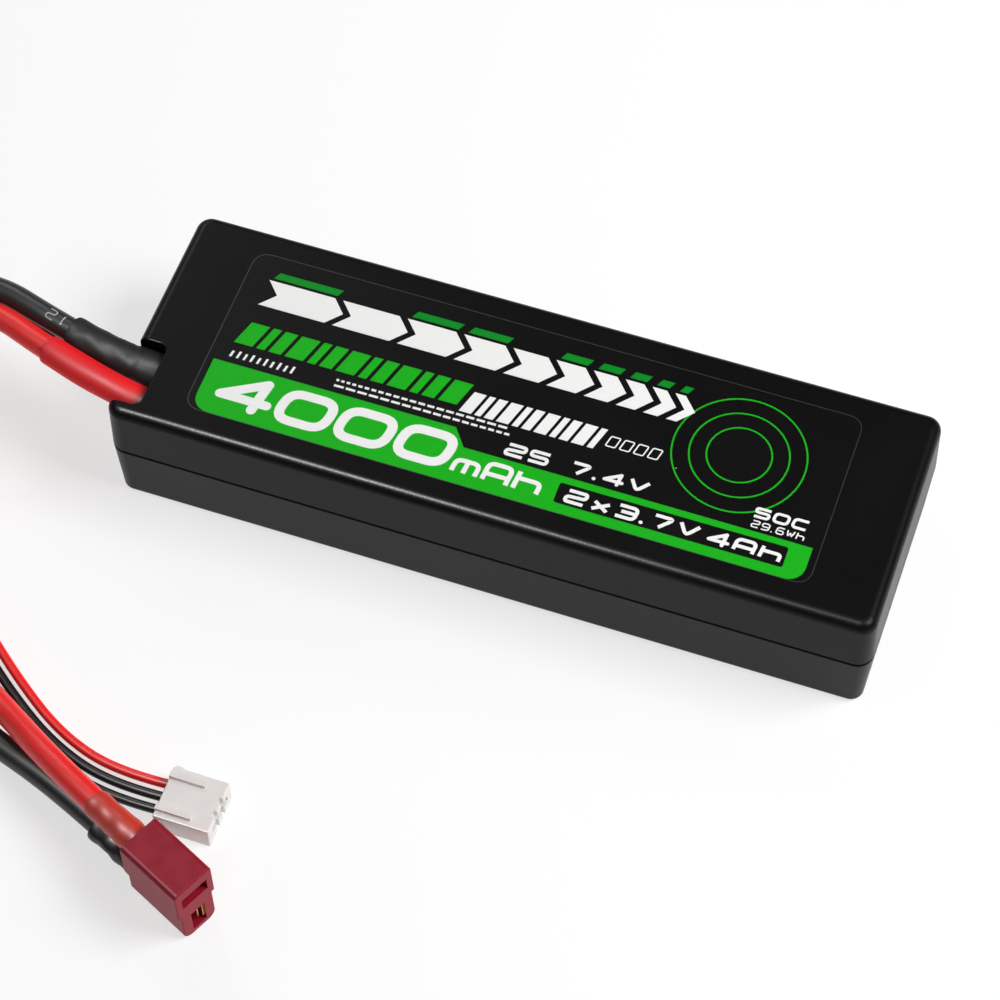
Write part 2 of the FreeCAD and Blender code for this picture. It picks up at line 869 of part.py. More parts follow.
def lead_nodes():
    """The five free leads, the entry sleeves and the seal that grips them."""
    red = make_lead("power_lead_red", power_red_route, power_lead_diameter)
    black = make_lead("power_lead_black", power_black_route, power_lead_diameter)
    nodes = {
        "power_lead_red": red,
        "power_lead_black": black,
        "entry_sleeve_red": entry_sleeve(
            power_red_route, red, entry_sleeve_red_diameter, entry_sleeve_red_run
        ),
        "entry_sleeve_black": entry_sleeve(
            power_black_route, black, entry_sleeve_black_diameter, entry_sleeve_black_run
        ),
    }
    for name, route in balance_routes.items():
        nodes[name] = make_lead(name, route, balance_lead_diameter)
    nodes["lead_seal"] = lead_seal(list(nodes.values()))
    return nodes


def power_plug_nodes(red, black):
    """The power plug with its contacts, spring leaves, solder joints and sleeves."""
    body = placed_power_plug(power_plug_body())
    nodes = {"power_plug_body": body}
    ways = (
        ("red", socket_upper, False, red, power_red_route),
        ("black", socket_lower, True, black, power_black_route),
    )
    for colour, level, turned, lead, route in ways:
        contact = placed_power_plug(at_socket(plug_contact(), level, turned))
        solder = plug_solder(level, contact, lead)
        nodes["plug_contact_" + colour] = contact
        nodes["contact_leaf_" + colour] = placed_power_plug(at_socket(contact_leaf(), level, turned))
        nodes["plug_solder_" + colour] = solder
        nodes["plug_sleeve_" + colour] = plug_sleeve(route, [lead, solder, contact], body)
        root = placed_power_plug(at_socket(Part.Vertex(leaf_root()), level, turned)).Point
        print("leaf", colour, "root", [round(value, 3) for value in root])
    return nodes


def balance_plug_nodes(leads):
    """The balance plug and its three contacts."""
    nodes = {"balance_plug_housing": balance_plug_housing(leads)}
    for index, offset in enumerate(balance_way_offsets()):
        lead = leads[len(leads) - 1 - index]
        nodes["balance_contact_" + str(index + 1)] = balance_contact(offset, lead)
    return nodes


def build():
    """Every node by name."""
    nodes = {}
    nodes.update(case_nodes())
    nodes.update(cell_nodes())
    nodes.update(board_nodes())
    nodes.update(lead_nodes())
    nodes.update(power_plug_nodes(nodes["power_lead_red"], nodes["power_lead_black"]))
    nodes.update(balance_plug_nodes([nodes[name] for name in balance_routes]))
    return nodes


os.makedirs("parts", exist_ok=True)
for node, shape in build().items():
    if not shape.isValid() or len(shape.Solids) != 1:
        raise ValueError(node + " isn't one valid solid: " + str(len(shape.Solids)))
    shape.Solids[0].exportStep("parts/" + node + ".step")
    print(node, round(shape.Volume, 1))
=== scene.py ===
"""Looks of a hard-cased two-cell lithium pack with its leads and plugs.

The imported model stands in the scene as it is. This file gives its pieces their
finishes and makes the leads, the shrink sleeves and the printing of the label.
"""

import json
import math

import bmesh
import bpy
from bpy.props import FloatProperty, FloatVectorProperty, IntProperty, PointerProperty
from mathutils import Matrix, Vector, noise

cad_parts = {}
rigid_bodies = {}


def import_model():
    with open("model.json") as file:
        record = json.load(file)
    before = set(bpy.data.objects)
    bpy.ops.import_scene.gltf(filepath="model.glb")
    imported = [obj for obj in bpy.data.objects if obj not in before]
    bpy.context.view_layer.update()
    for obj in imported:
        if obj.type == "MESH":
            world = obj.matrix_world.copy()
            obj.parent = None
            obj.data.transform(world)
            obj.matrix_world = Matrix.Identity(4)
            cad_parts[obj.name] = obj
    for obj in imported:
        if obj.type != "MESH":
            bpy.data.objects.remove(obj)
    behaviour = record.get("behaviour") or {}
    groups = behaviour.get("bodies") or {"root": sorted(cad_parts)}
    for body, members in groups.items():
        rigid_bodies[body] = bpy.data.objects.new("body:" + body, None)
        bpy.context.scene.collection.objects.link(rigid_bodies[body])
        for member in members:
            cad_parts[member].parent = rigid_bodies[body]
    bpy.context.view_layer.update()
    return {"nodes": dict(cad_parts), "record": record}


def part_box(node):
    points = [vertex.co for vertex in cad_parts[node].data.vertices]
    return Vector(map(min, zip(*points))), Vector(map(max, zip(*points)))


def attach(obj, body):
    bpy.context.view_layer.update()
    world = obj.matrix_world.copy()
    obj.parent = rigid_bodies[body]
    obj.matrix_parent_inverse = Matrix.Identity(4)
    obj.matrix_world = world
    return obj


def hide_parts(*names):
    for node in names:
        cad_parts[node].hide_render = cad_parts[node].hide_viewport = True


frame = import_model()

bl_info = {
    "name": "Hard-cased lithium pack",
    "version": (1, 0, 0),
    "blender": (4, 5, 0),
    "location": "View3D > Sidebar > Pack",
    "description": "Finishes, leads, sleeves and label printing for a two-cell pack",
    "category": "Object",
}

MM = 0.001

# What the camera looks at, and where the soft lights stand and how wide they are, in metres
AIM = (-0.001624, -0.007891, 0.008072)
KEY_PLACE, KEY_SIZE = (0.42, 0.06, 0.56), (0.36, 0.30)
EDGE_PLACE, EDGE_SIZE = (-0.19, -0.20, 0.62), (0.05, 0.05)
BACK_PLACE, BACK_SIZE = (-0.46, 0.46, 0.50), (0.30, 0.25)
FLOOR_RADIUS = 4.0
FLOOR_DROP = 0.02 * MM
FLOOR_GLOW = 0.66

# Steps in a rounded corner, a quarter round, a round stroke end and a ring
CORNER_STEPS = 6
QUARTER_STEPS = 8
END_STEPS = 12
RING_STEPS = 72

# Shrink sleeves: wall at the case, hold on the lead, lip at each end and length of one step
ENTRY_WALLS = {"red": 0.65 * MM, "black": 0.75 * MM}
SLEEVE_HOLD = 0.05 * MM
SLEEVE_LIP = 0.05 * MM
SLEEVE_STEP = 0.35 * MM
PLUG_SLEEVE_LENGTH = 12.0 * MM
OVER_JOINT = 5.0 * MM
PLUG_GAP = 1.0 * MM

# Gauge marks on the black power lead: how many, how far apart, how far from the lead's ends, where round it
MARK_COUNT = 5
MARK_PITCH = 17 * MM
MARK_START = 1.4 * MM
MARK_END = 20 * MM
MARK_TURN = math.radians(98)
MARK_ROOT, MARK_RISE = -0.05 * MM, 0.03 * MM

# Printing on the label: depth of its root, height of one layer, and the tiny steps between
# shapes of one layer that keep crossing shapes from sharing a face
INK_ROOT = 0.01 * MM
LAYER = 0.018 * MM
SHAPE_STEP = 0.0012 * MM
SHAPE_LEVELS = 7
CURVED_STEP = 0.2

# Layout of the label, in millimetres from its middle
EDGE_INSET, EDGE_CORNER, EDGE_PEN = 0.12, 3.0, 0.16
RING_CENTRE, RING_RADII, RING_PEN = (37.6, 3.6), (5.6, 8.6, 11.6), 0.3
BAND_END, BAND_LOW, BAND_CORNER = 54.6, -17.5, 3.0
BAND_HIGH_LEFT, BAND_HIGH_RIGHT = -6.6, -10.3
BAND_STEP = [(-7.3, -10.1), (-9.9, -6.6)]
WINDOW = [(10.6, -15.6), (50.8, -15.6), (50.8, -11.5), (10.6, -11.5)]
ARROWS_LEFT, ARROWS_LOW, ARROWS_HIGH, ARROW_POINT, ARROW_GAP = -51.6, 6.7, 12.3, 2.5, 1.5
ARROW_WIDTHS = (12.4, 10.6, 9.0, 7.6, 6.4, 5.3, 4.3, 3.4, 2.6, 1.9)
UNSHADED_WIDTHS = (10.6, 6.4)
SHADE_LOW, SHADE_HIGH, SHADE_LEAN = 12.9, 14.3, 0.5
BARS_LEFT, BAR_LEAN = -52.6, 0.3
GREEN_BARS, GREEN_WIDTHS, GREEN_LOW, GREEN_HIGH, GREEN_GAP = 13, (3.4, 1.5, 2.3), -2.2, 2.7, 0.75
WHITE_BARS, WHITE_WIDTHS, WHITE_LOW, WHITE_HIGH, WHITE_GAP = 11, (2.2, 1.1, 1.6), -3.2, 1.3, 0.62
OPEN_BARS, OPEN_LEFT, OPEN_PITCH, OPEN_PEN = 4, 15.4, 2.5, 0.24
DASH_ROWS, DASH_LEFT, DASH_RIGHT, DASH_TOP, DASH_HEIGHT = 2, -32.8, -1.5, -3.75, 0.45
DASH_DROP, DASH_GAP = 1.2, 0.42
TICKS, TICK_LEFT, TICK_PITCH, TICK_WIDTH, TICK_LOW, TICK_HIGH = 10, -52.3, 1.25, 0.42, -5.3, -4.0

# Control points of the leads, in metres. They are those of the CAD source, but where the power
# leads run side by side a few are moved a little so that the two leads touch
POWER_RED_ROUTE = [
    (-0.0625, -0.0164, 0.0199), (-0.0705, -0.0161, 0.0216), (-0.0845, -0.0120, 0.0218),
    (-0.0975, -0.0066, 0.0204), (-0.1100, -0.0068, 0.0174), (-0.1185, -0.0152, 0.0138),
    (-0.1200, -0.0275, 0.0098), (-0.1140, -0.0400, 0.0058), (-0.1025, -0.0513, 0.0030),
    (-0.0875, -0.0618, 0.0024), (-0.0700, -0.0714, 0.0040), (-0.0532, -0.0830, 0.0114),
    (-0.0378, -0.0902, 0.0120),
]
POWER_BLACK_ROUTE = [
    (-0.0625, -0.0101, 0.0200), (-0.0705, -0.0100, 0.0219), (-0.0845, -0.0066, 0.0220),
    (-0.0995, -0.0012, 0.0206), (-0.1140, -0.0030, 0.0166), (-0.1240, -0.0144, 0.0114),
    (-0.1254, -0.0300, 0.0064), (-0.1180, -0.0446, 0.0032), (-0.1055, -0.0570, 0.0024),
    (-0.0895, -0.0674, 0.0024), (-0.0720, -0.0768, 0.0024), (-0.0532, -0.0830, 0.0040),
    (-0.0378, -0.0902, 0.0040),
]
BALANCE_POSITIVE_ROUTE = [
    (-0.0625, -0.0150, 0.0152), (-0.0720, -0.0124, 0.0154), (-0.0840, -0.0071, 0.0152),
    (-0.0960, -0.0036, 0.0136), (-0.1060, -0.0056, 0.0106), (-0.1122, -0.0140, 0.0074),
    (-0.1126, -0.0260, 0.0044), (-0.1065, -0.0372, 0.0020), (-0.0954, -0.0456, 0.0009),
    (-0.0820, -0.0546, 0.0009), (-0.0696, -0.0648, 0.0009), (-0.0578, -0.0726, 0.0009),
    (-0.0456, -0.0763, 0.0016), (-0.0350, -0.0761, 0.0029),
]
BALANCE_MIDDLE_ROUTE = [
    (-0.0625, -0.0130, 0.0152), (-0.0720, -0.0103, 0.0154), (-0.0840, -0.0050, 0.0152),
    (-0.0965, -0.0014, 0.0136), (-0.1076, -0.0038, 0.0106), (-0.1143, -0.0134, 0.0074),
    (-0.1147, -0.0264, 0.0044), (-0.1082, -0.0386, 0.0020), (-0.0967, -0.0474, 0.0009),
    (-0.0833, -0.0564, 0.0009), (-0.0708, -0.0668, 0.0009), (-0.0584, -0.0748, 0.0009),
    (-0.0456, -0.0788, 0.0016), (-0.0350, -0.0786, 0.0029),
]
BALANCE_NEGATIVE_ROUTE = [
    (-0.0625, -0.0110, 0.0152), (-0.0720, -0.0082, 0.0154), (-0.0840, -0.0029, 0.0152),
    (-0.0975, 0.0007, 0.0136), (-0.1094, -0.0022, 0.0106), (-0.1165, -0.0130, 0.0074),
    (-0.1168, -0.0270, 0.0044), (-0.1100, -0.0400, 0.0020), (-0.0981, -0.0492, 0.0009),
    (-0.0847, -0.0581, 0.0009), (-0.0721, -0.0688, 0.0009), (-0.0591, -0.0770, 0.0009),
    (-0.0456, -0.0813, 0.0016), (-0.0350, -0.0811, 0.0029),
]

# Strokes of the numerals and unit letters, on a grid one wide and one high
GLYPHS = {
    "0": [[(0, 0), (1, 0), (1, 1), (0, 1), "closed"]],
    "1": [[(0.2, 0.8), (0.5, 1), (0.5, 0)]],
    "2": [[(0, 1), (1, 1), (1, 0.54), (0, 0.46), (0, 0), (1, 0)]],
    "3": [[(0, 1), (1, 1), (1, 0), (0, 0)], [(0.2, 0.5), (1, 0.5)]],
    "4": [[(0.78, 0), (0.78, 1), "round"], [(0.78, 1), (0, 0.28), "round"], [(0, 0.28), (1, 0.28), "round"]],
    "5": [[(1, 1), (0, 1), (0, 0.54), (1, 0.54), (1, 0), (0, 0)]],
    "6": [[(1, 1), (0, 1), (0, 0), (1, 0), (1, 0.54), (0, 0.54)]],
    "7": [[(0, 1), (1, 1), (0.4, 0)]],
    "9": [[(0, 0), (1, 0), (1, 1), (0, 1), (0, 0.46), (1, 0.46)]],
    "A": [[(0, 0), (0, 1), (1, 1), (1, 0)], [(0, 0.38), (1, 0.38)]],
    "C": [[(1, 1), (0, 1), (0, 0), (1, 0)]],
    "H": [[(0, 0), (0, 1)], [(0, 0.62), (1, 0.62), (1, 0)]],
    "M": [[(0, 0), (0, 0.7), (1, 0.7), (1, 0)], [(0.5, 0), (0.5, 0.7)]],
    "S": [[(1, 1), (0, 1), (0, 0.52), (1, 0.52), (1, 0), (0, 0)]],
    "V": [[(0, 1), (0.5, 0), (1, 1)]],
    "W": [[(0, 1), (0.25, 0), (0.5, 0.75), (0.75, 0), (1, 1)]],
    "X": [[(0.1, 0), (0.9, 0.7)], [(0.1, 0.7), (0.9, 0)]],
    ".": [[(0, 0), (0.1, 0), "round"]],
}
NARROW = {".": 0.3, "1": 0.7}


def tone(red, green, blue):
    """Linear colour of a display colour given from 0 to 255."""
    shares = [value / 255 for value in (red, green, blue)]
    return tuple(v / 12.92 if v <= 0.04045 else ((v + 0.055) / 1.055) ** 2.4 for v in shares)


def scaled(colour, factor):
    """A colour made lighter or darker."""
    return tuple(min(1.0, value * factor) for value in colour)


class Term:
    """A value in a finish's node tree that stands in ordinary arithmetic."""

    def __init__(self, finish, socket):
        self.finish = finish
        self.socket = socket

    def join(self, operation, first, second):
        return self.finish.node("ShaderNodeMath", {"operation": operation}, {0: first, 1: second})

    def __add__(self, other):
        return self.join("ADD", self, other)

    def __radd__(self, other):
        return self.join("ADD", other, self)

    def __sub__(self, other):
        return self.join("SUBTRACT", self, other)

    def __rsub__(self, other):
        return self.join("SUBTRACT", other, self)

    def __mul__(self, other):
        return self.join("MULTIPLY", self, other)

    def __rmul__(self, other):
        return self.join("MULTIPLY", other, self)

    def __pow__(self, other):
        return self.join("POWER", self, other)

    def __lt__(self, other):
        return self.join("LESS_THAN", self, other)

class Finish:
    """One material: a principled shader and the nodes that feed it."""

    def __init__(self, name):
        self.material = bpy.data.materials.new(name)
        self.material.use_nodes = True
        self.tree = self.material.node_tree
        self.tree.nodes.clear()
        self.shader = self.tree.nodes.new("ShaderNodeBsdfPrincipled")
        output = self.tree.nodes.new("ShaderNodeOutputMaterial")
        self.tree.links.new(self.shader.outputs[0], output.inputs["Surface"])
        self.place = self.node("ShaderNodeTexCoord", {}, {}, "Object")

    def feed(self, socket, value):
        """Link a term to a socket, or set a constant on it."""
        if isinstance(value, Term):
            self.tree.links.new(value.socket, socket)
        elif socket.type == "RGBA":
            socket.default_value = (*value[:3], 1.0)
        else:
            socket.default_value = value

    def node(self, kind, settings=None, sockets=None, output=0):
        """Any node: its settings first, then its sockets' values or links."""
        made = self.tree.nodes.new(kind)
        for key, value in (settings or {}).items():
            setattr(made, key, value)
        for key, value in (sockets or {}).items():
            self.feed(made.inputs[key], value)
        return Term(self, made.outputs[output])

    def grain(self, size, detail=2.0, roughness=0.5, stretch=None):
        """Soft noise whose features are about a size across, in metres."""
        place = self.place
        if stretch:
            place = self.node("ShaderNodeVectorMath", {"operation": "MULTIPLY"}, {0: place, 1: stretch})
        values = {"Vector": place, "Scale": 1 / size, "Detail": detail, "Roughness": roughness}
        return self.node("ShaderNodeTexNoise", {}, values, "Fac")

    def cells(self, size, output="Distance", feature="F1"):
        """Cell pattern whose cells are about a size across, in metres."""
        values = {"Vector": self.place, "Scale": 1 / size}
        return self.node("ShaderNodeTexVoronoi", {"feature": feature}, values, output)

    def specks(self, size, spread, share):
        """Mask of a few tiny round specks, about one in so many cells."""
        distance = self.cells(spread)
        chance = self.node("ShaderNodeSeparateColor", {}, {0: self.cells(spread, "Color")})
        return (distance < size / spread) * (chance < share)

    def mixed(self, factor, first, second):
        """Colour between two colours."""
        settings = {"data_type": "RGBA"}
        return self.node("ShaderNodeMix", settings, {0: factor, 6: first, 7: second}, 2)

    def bumped(self, height, distance):
        """Normal that a height gives, where one unit of height is a distance."""
        return self.node("ShaderNodeBump", {}, {"Height": height, "Distance": distance, "Strength": 1.0})

    def shade(self, **values):
        """Set or link the shader's sockets; an underscore stands for a space."""
        for key, value in values.items():
            self.feed(self.shader.inputs[key.replace("_", " ")], value)
        return self.material


def moulded(name, colour, roughness, grain_size, grain_depth, lint=0.0, gloss=0.3):
    """Moulded plastic: fine texture, cloudy gloss and a little dust."""
    finish = Finish(name)
    fine = finish.grain(grain_size, 3.0, 0.6)
    cloud = finish.grain(18 * MM, 3.0)
    colours = finish.mixed(cloud, scaled(colour, 0.82), scaled(colour, 1.2))
    if lint:
        dust = finish.specks(0.16 * MM, 7 * MM, lint)
        colours = finish.mixed(dust * 0.7, colours, tone(190, 188, 178))
    return finish.shade(
        Base_Color=colours,
        Roughness=roughness + (cloud - 0.5) * 0.10 + (fine - 0.5) * 0.16,
        Specular_IOR_Level=gloss,
        Normal=finish.bumped(fine, grain_depth),
    )


def rubbery(name, colour, roughness, bloom, gloss=0.4):
    """Silicone or shrink tube: satin, with faint dull bloom and fine drag lines."""
    finish = Finish(name)
    fine = finish.grain(0.35 * MM, 3.0, 0.6)
    cloud = finish.grain(9 * MM, 4.0, 0.6)
    colours = finish.mixed(cloud * bloom, colour, scaled(colour, 1.35))
    return finish.shade(
        Base_Color=colours,
        Roughness=roughness + (cloud - 0.5) * 0.16 + (fine - 0.5) * 0.08,
        Specular_IOR_Level=gloss,
        Normal=finish.bumped(fine * 0.6 + cloud, 0.012 * MM),
    )


def metallic(name, colour, roughness, scratch):
    """Plated or bare metal with fine scratches and a cloudy tarnish."""
    finish = Finish(name)
    lines = finish.grain(0.2 * MM, 2.0, 0.5, (0.15, 1.0, 1.0))
    cloud = finish.grain(3 * MM, 3.0)
    return finish.shade(
        Base_Color=finish.mixed(cloud, scaled(colour, 0.8), scaled(colour, 1.08)),
        Metallic=1.0,
        Roughness=roughness + (lines - 0.5) * 0.2 + (cloud - 0.5) * 0.1,
        Normal=finish.bumped(lines, scratch),
    )


def creased_foil(name, colour):
    """Aluminium laminate with shallow press creases."""
    finish = Finish(name)
    crease = finish.cells(9 * MM, "Distance", "DISTANCE_TO_EDGE")
    cloud = finish.grain(14 * MM, 4.0, 0.6)
    return finish.shade(
        Base_Color=finish.mixed(cloud, scaled(colour, 0.86), scaled(colour, 1.05)),
        Metallic=0.85,
        Roughness=0.34 + (cloud - 0.5) * 0.2,
        Normal=finish.bumped(crease ** 0.5 + cloud * 0.8, 0.05 * MM),
    )


def foamed(name, colour):
    """Closed-cell foam with small open pores on its cut faces, their hollows darkened by painted shade."""
    finish = Finish(name)
    pores = finish.cells(0.7 * MM)
    cloud = finish.grain(5 * MM)
    # Painted shade: the colour darkens towards the middle of each pore, where the bump sinks, and also at
    # random under a soft cloud
    return finish.shade(
        Base_Color=finish.mixed(pores * cloud, scaled(colour, 0.7), scaled(colour, 1.25)),
        Roughness=0.92,
        Normal=finish.bumped(pores, 0.12 * MM),
    )


def filmed(name, colour, roughness, ripple):
    """Thin film or tape with a slight ripple."""
    finish = Finish(name)
    wave = finish.grain(6 * MM, 2.0)
    fine = finish.grain(0.25 * MM, 2.0)
    return finish.shade(
        Base_Color=finish.mixed(wave, scaled(colour, 0.9), scaled(colour, 1.08)),
        Roughness=roughness + (fine - 0.5) * 0.1 + (wave - 0.5) * 0.08,
        Normal=finish.bumped(wave * 3 + fine * 0.2, ripple),
    )


def inked(name, colour, mottle, gloss=0.5):
    """Printing ink with the faint mottle of a screen."""
    finish = Finish(name)
    dots = finish.cells(0.22 * MM)
    cloud = finish.grain(1.6 * MM, 4.0, 0.65)
    worn = finish.mixed(dots * mottle, colour, scaled(colour, 0.55))
    return finish.shade(
        Base_Color=finish.mixed(cloud * 0.35, worn, scaled(colour, 1.12)),
        Roughness=0.34 + (cloud - 0.5) * 0.12,
        Specular_IOR_Level=gloss,
        Normal=finish.bumped(cloud + dots, 0.002 * MM),
    )


def dress(material, *nodes):
    """Put a finish on CAD nodes."""
    for node in nodes:
        piece = frame["nodes"][node]
        if not piece.material_slots:
            raise RuntimeError(node + " has no material slot")
        for slot in piece.material_slots:
            slot.material = material


def nodes_of(slot):
    """CAD nodes that the record gives one material slot."""
    return [part["node"] for part in frame["record"]["subparts"] if part["material_slot"] == slot]


def slot_of(node):
    """The record's material slot of one CAD node."""
    for part in frame["record"]["subparts"]:
        if part["node"] == node:
            return part["material_slot"]
    raise RuntimeError("the record has no node " + node)


def new_piece(name, mesh, material, slot):
    """A shown piece on the pack's body."""
    piece = bpy.data.objects.new(name, mesh)
    bpy.context.scene.collection.objects.link(piece)
    mesh.materials.append(material)
    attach(piece, "pack")
    return piece


def smooth_mesh(name, built, angle=35.0):
    """Mesh from a bmesh, smooth except across sharp edges."""
    bmesh.ops.recalc_face_normals(built, faces=built.faces)
    for face in built.faces:
        face.smooth = True
    for edge in built.edges:
        edge.smooth = len(edge.link_faces) == 2 and edge.calc_face_angle(0.0) < math.radians(angle)
    mesh = bpy.data.meshes.new(name)
    built.to_mesh(mesh)
    built.free()
    return mesh


def loft(name, rings):
    """Closed mesh through rings of points, the last ring joined to the first."""
    built = bmesh.new()
    rows = [[built.verts.new(point) for point in ring] for ring in rings]
    for index, row in enumerate(rows):
        following = rows[(index + 1) % len(rows)]
        for side in range(len(row)):
            ahead = (side + 1) % len(row)
            built.faces.new((row[side], row[ahead], following[ahead], following[side]))
    return smooth_mesh(name, built)


class Run:
    """Middle line of a lead, read from its curve, with its crossways directions."""

    def __init__(self, curve, beyond=0.0):
        bare = bpy.data.objects.new("bare_line", curve.data.copy())
        bare.data.bevel_depth = 0
        mesh = bpy.data.meshes.new_from_object(bare)
        self.points = [vertex.co.copy() for vertex in mesh.vertices]
        bpy.data.meshes.remove(mesh)
        bpy.data.curves.remove(bare.data)
        if beyond:
            ahead = (self.points[-1] - self.points[-2]).normalized()
            self.points.append(self.points[-1] + ahead * beyond)
        self.along = [0.0]
        for before, after in zip(self.points, self.points[1:]):
            self.along.append(self.along[-1] + (after - before).length)
        self.length = self.along[-1]

    def spot(self, distance):
        """Point at a distance from the start."""
        distance = min(max(distance, 0.0), self.length)
        for index in range(1, len(self.along)):
            if self.along[index] >= distance:
                low = self.along[index - 1]
                share = (distance - low) / (self.along[index] - low)
                return self.points[index - 1].lerp(self.points[index], share)
        return self.points[-1].copy()

    def across(self, distance):
        """Sideways and upward directions at a distance from the start."""
        step = 0.4 * MM
        heading = self.spot(distance + step) - self.spot(distance - step)
        side = heading.cross(Vector((0, 0, 1))).normalized()
        return side, side.cross(heading).normalized()

    def ring(self, distance, radius, around, flat=1.0):
        """Ring of points about the line; radius is a function of the angle."""
        middle = self.spot(distance)
        side, up = self.across(distance)
        points = []
        for index in range(around):
            angle = 2 * math.pi * index / around
            reach = radius(angle)
            wide, high = math.cos(angle) * reach / flat, math.sin(angle) * reach * flat
            points.append(middle + side * wide + up * high)
        return points

    def distance_at(self, axis, value):
        """How far along the line one coordinate first falls to a value."""
        for point, distance in zip(self.points, self.along):
            if point[axis] <= value:
                return distance
        raise RuntimeError("the line never reaches that value")


def sleeve_mesh(name, run, start, end, bore, skin, flat=1.0, around=48):
    """Closed sleeve round a run; skin gives the outer radius by share and angle."""
    steps = max(12, int((end - start) / SLEEVE_STEP))
    outer = []
    inner = []
    for step in range(steps + 1):
        share = step / steps
        distance = start + (end - start) * share
        drop = SLEEVE_LIP if step in (0, steps) else 0.0
        outer.append(run.ring(distance, lambda angle: skin(share, angle) - drop, around, flat))
        inner.append(run.ring(distance, lambda angle: bore, around, flat))
    return loft(name, outer + inner[::-1])


def rounded_stroke(points, radius, closed=False):
    """Stroke of a glyph or outline with its corners rounded."""
    count = len(points)
    made = []
    for index, point in enumerate(points):
        corner = Vector(point)
        if not closed and index in (0, count - 1):
            made.append(corner)
            continue
        before = Vector(points[index - 1]) - corner
        after = Vector(points[(index + 1) % count]) - corner
        trim = min(radius, 0.48 * before.length, 0.48 * after.length)
        first = corner + before.normalized() * trim
        last = corner + after.normalized() * trim
        for step in range(CORNER_STEPS + 1):
            share = step / CORNER_STEPS
            made.append(first.lerp(corner, share).lerp(corner.lerp(last, share), share))
    return made


class Printing:
    """Flat printed shapes of one ink, laid out in millimetres on a surface."""

    def __init__(self, low, high, shape=None):
        self.built = bmesh.new()
        self.low = low
        self.high = high
        self.curved = shape is not None
        self.shape = shape or (lambda x, y, z: Vector((x * MM, y * MM, z)))
        self.lift = 0

    def prism(self, loops):
        """Thin solid between a lower and an upper strip or outline."""
        self.lift += 1
        high = self.high + self.lift % SHAPE_LEVELS * SHAPE_STEP
        return [[self.built.verts.new(self.shape(p.x, p.y, z)) for p in loops] for z in (self.low, high)]

    def area(self, outline):
        """Filled outline."""
        low, high = self.prism([Vector(point) for point in outline])
        self.built.faces.new(high)
        self.built.faces.new(low[::-1])
        for index in range(len(low)):
            ahead = (index + 1) % len(low)
            self.built.faces.new((low[index], low[ahead], high[ahead], high[index]))

    def divided(self, points):
        """More points along a stroke, so that it follows a curved surface."""
        made = [points[0]]
        for before, after in zip(points, points[1:]):
            count = max(1, math.ceil((after - before).length / CURVED_STEP))
            made += [before.lerp(after, (step + 1) / count) for step in range(count)]
        return made

    def stroke(self, points, width, closed=False):
        """Line of one width along points."""
        if self.curved:
            points = self.divided(points)
        left = []
        right = []
        count = len(points)
        for index, point in enumerate(points):
            before = points[index - 1] if closed or index else point
            after = points[(index + 1) % count] if closed or index < count - 1 else point
            back = (point - before).normalized() if point != before else None
            ahead = (after - point).normalized() if after != point else None
            heading = (back or ahead) + (ahead or back)
            across = Vector((-heading.y, heading.x)).normalized()
            base = ahead or back
            spread = max(0.5, across.dot(Vector((-base.y, base.x))))
            left.append(point + across * (width / 2 / spread))
            right.append(point - across * (width / 2 / spread))
        rows = self.prism(left + right)
        low_left, low_right = rows[0][:count], rows[0][count:]
        high_left, high_right = rows[1][:count], rows[1][count:]
        for index in range(count if closed else count - 1):
            ahead = (index + 1) % count
            self.built.faces.new((high_left[index], high_right[index], high_right[ahead], high_left[ahead]))
            self.built.faces.new((low_left[index], low_left[ahead], low_right[ahead], low_right[index]))
            self.built.faces.new((high_left[index], high_left[ahead], low_left[ahead], low_left[index]))
            self.built.faces.new((high_right[index], low_right[index], low_right[ahead], high_right[ahead]))
        if not closed:
            self.built.faces.new((high_left[0], low_left[0], low_right[0], high_right[0]))
            self.built.faces.new((high_left[-1], high_right[-1], low_right[-1], low_left[-1]))

    def capsule(self, first, last, width):
        """Straight stroke with round ends."""
        ahead = (last - first).normalized() * (width / 2)
        across = Vector((-ahead.y, ahead.x))
        outline = []
        for middle, facing in ((last, 1), (first, -1)):
            for step in range(END_STEPS + 1):
                angle = math.pi * step / END_STEPS
                outline.append(middle + (ahead * math.sin(angle) - across * math.cos(angle)) * facing)
        self.area(outline)

    def text(self, words, left, base, height, width, gap, pen, lean=0.0, soft=0.3):
        """Numerals and unit letters in wide rounded strokes."""
        x = left + pen / 2
        for letter in words:
            wide = width * NARROW.get(letter, 1.0)
            for path in GLYPHS.get(letter, []):
                points = [p for p in path if not isinstance(p, str)]
                placed = [
                    Vector((x + u * (wide - pen) + lean * v * height, base + pen / 2 + v * (height - pen)))
                    for u, v in points
                ]
                if path[-1] == "round":
                    self.capsule(*placed, pen)
                else:
                    closed = path[-1] == "closed"
                    self.stroke(rounded_stroke(placed, soft * height, closed), pen, closed)
            x += wide + gap

    def bar(self, left, right, low, high, lean):
        """Leaning bar between two levels."""
        shift = (high - low) * lean
        self.area([(left, low), (right, low), (right + shift, high), (left + shift, high)])

    def arrow(self, left, width, low, high, point):
        """Arrowhead bar that points to the right."""
        middle = (low + high) / 2
        self.area([
            (left, low), (left + width, low), (left + width + point, middle),
            (left + width, high), (left, high), (left + point, middle),
        ])

    def ring(self, middle, radius, pen):
        """Thin ring."""
        points = []
        for index in range(RING_STEPS):
            angle = 2 * math.pi * index / RING_STEPS
            points.append(Vector(middle) + Vector((math.cos(angle), math.sin(angle))) * radius)
        self.stroke(points, pen, True)

    def finish(self, name, material, slot):
        """The printed shapes as one piece."""
        return new_piece(name, smooth_mesh(name, self.built, 20.0), material, slot)


# What every colour that a user may change has in common
COLOUR = {"subtype": "COLOR", "min": 0, "max": 1}


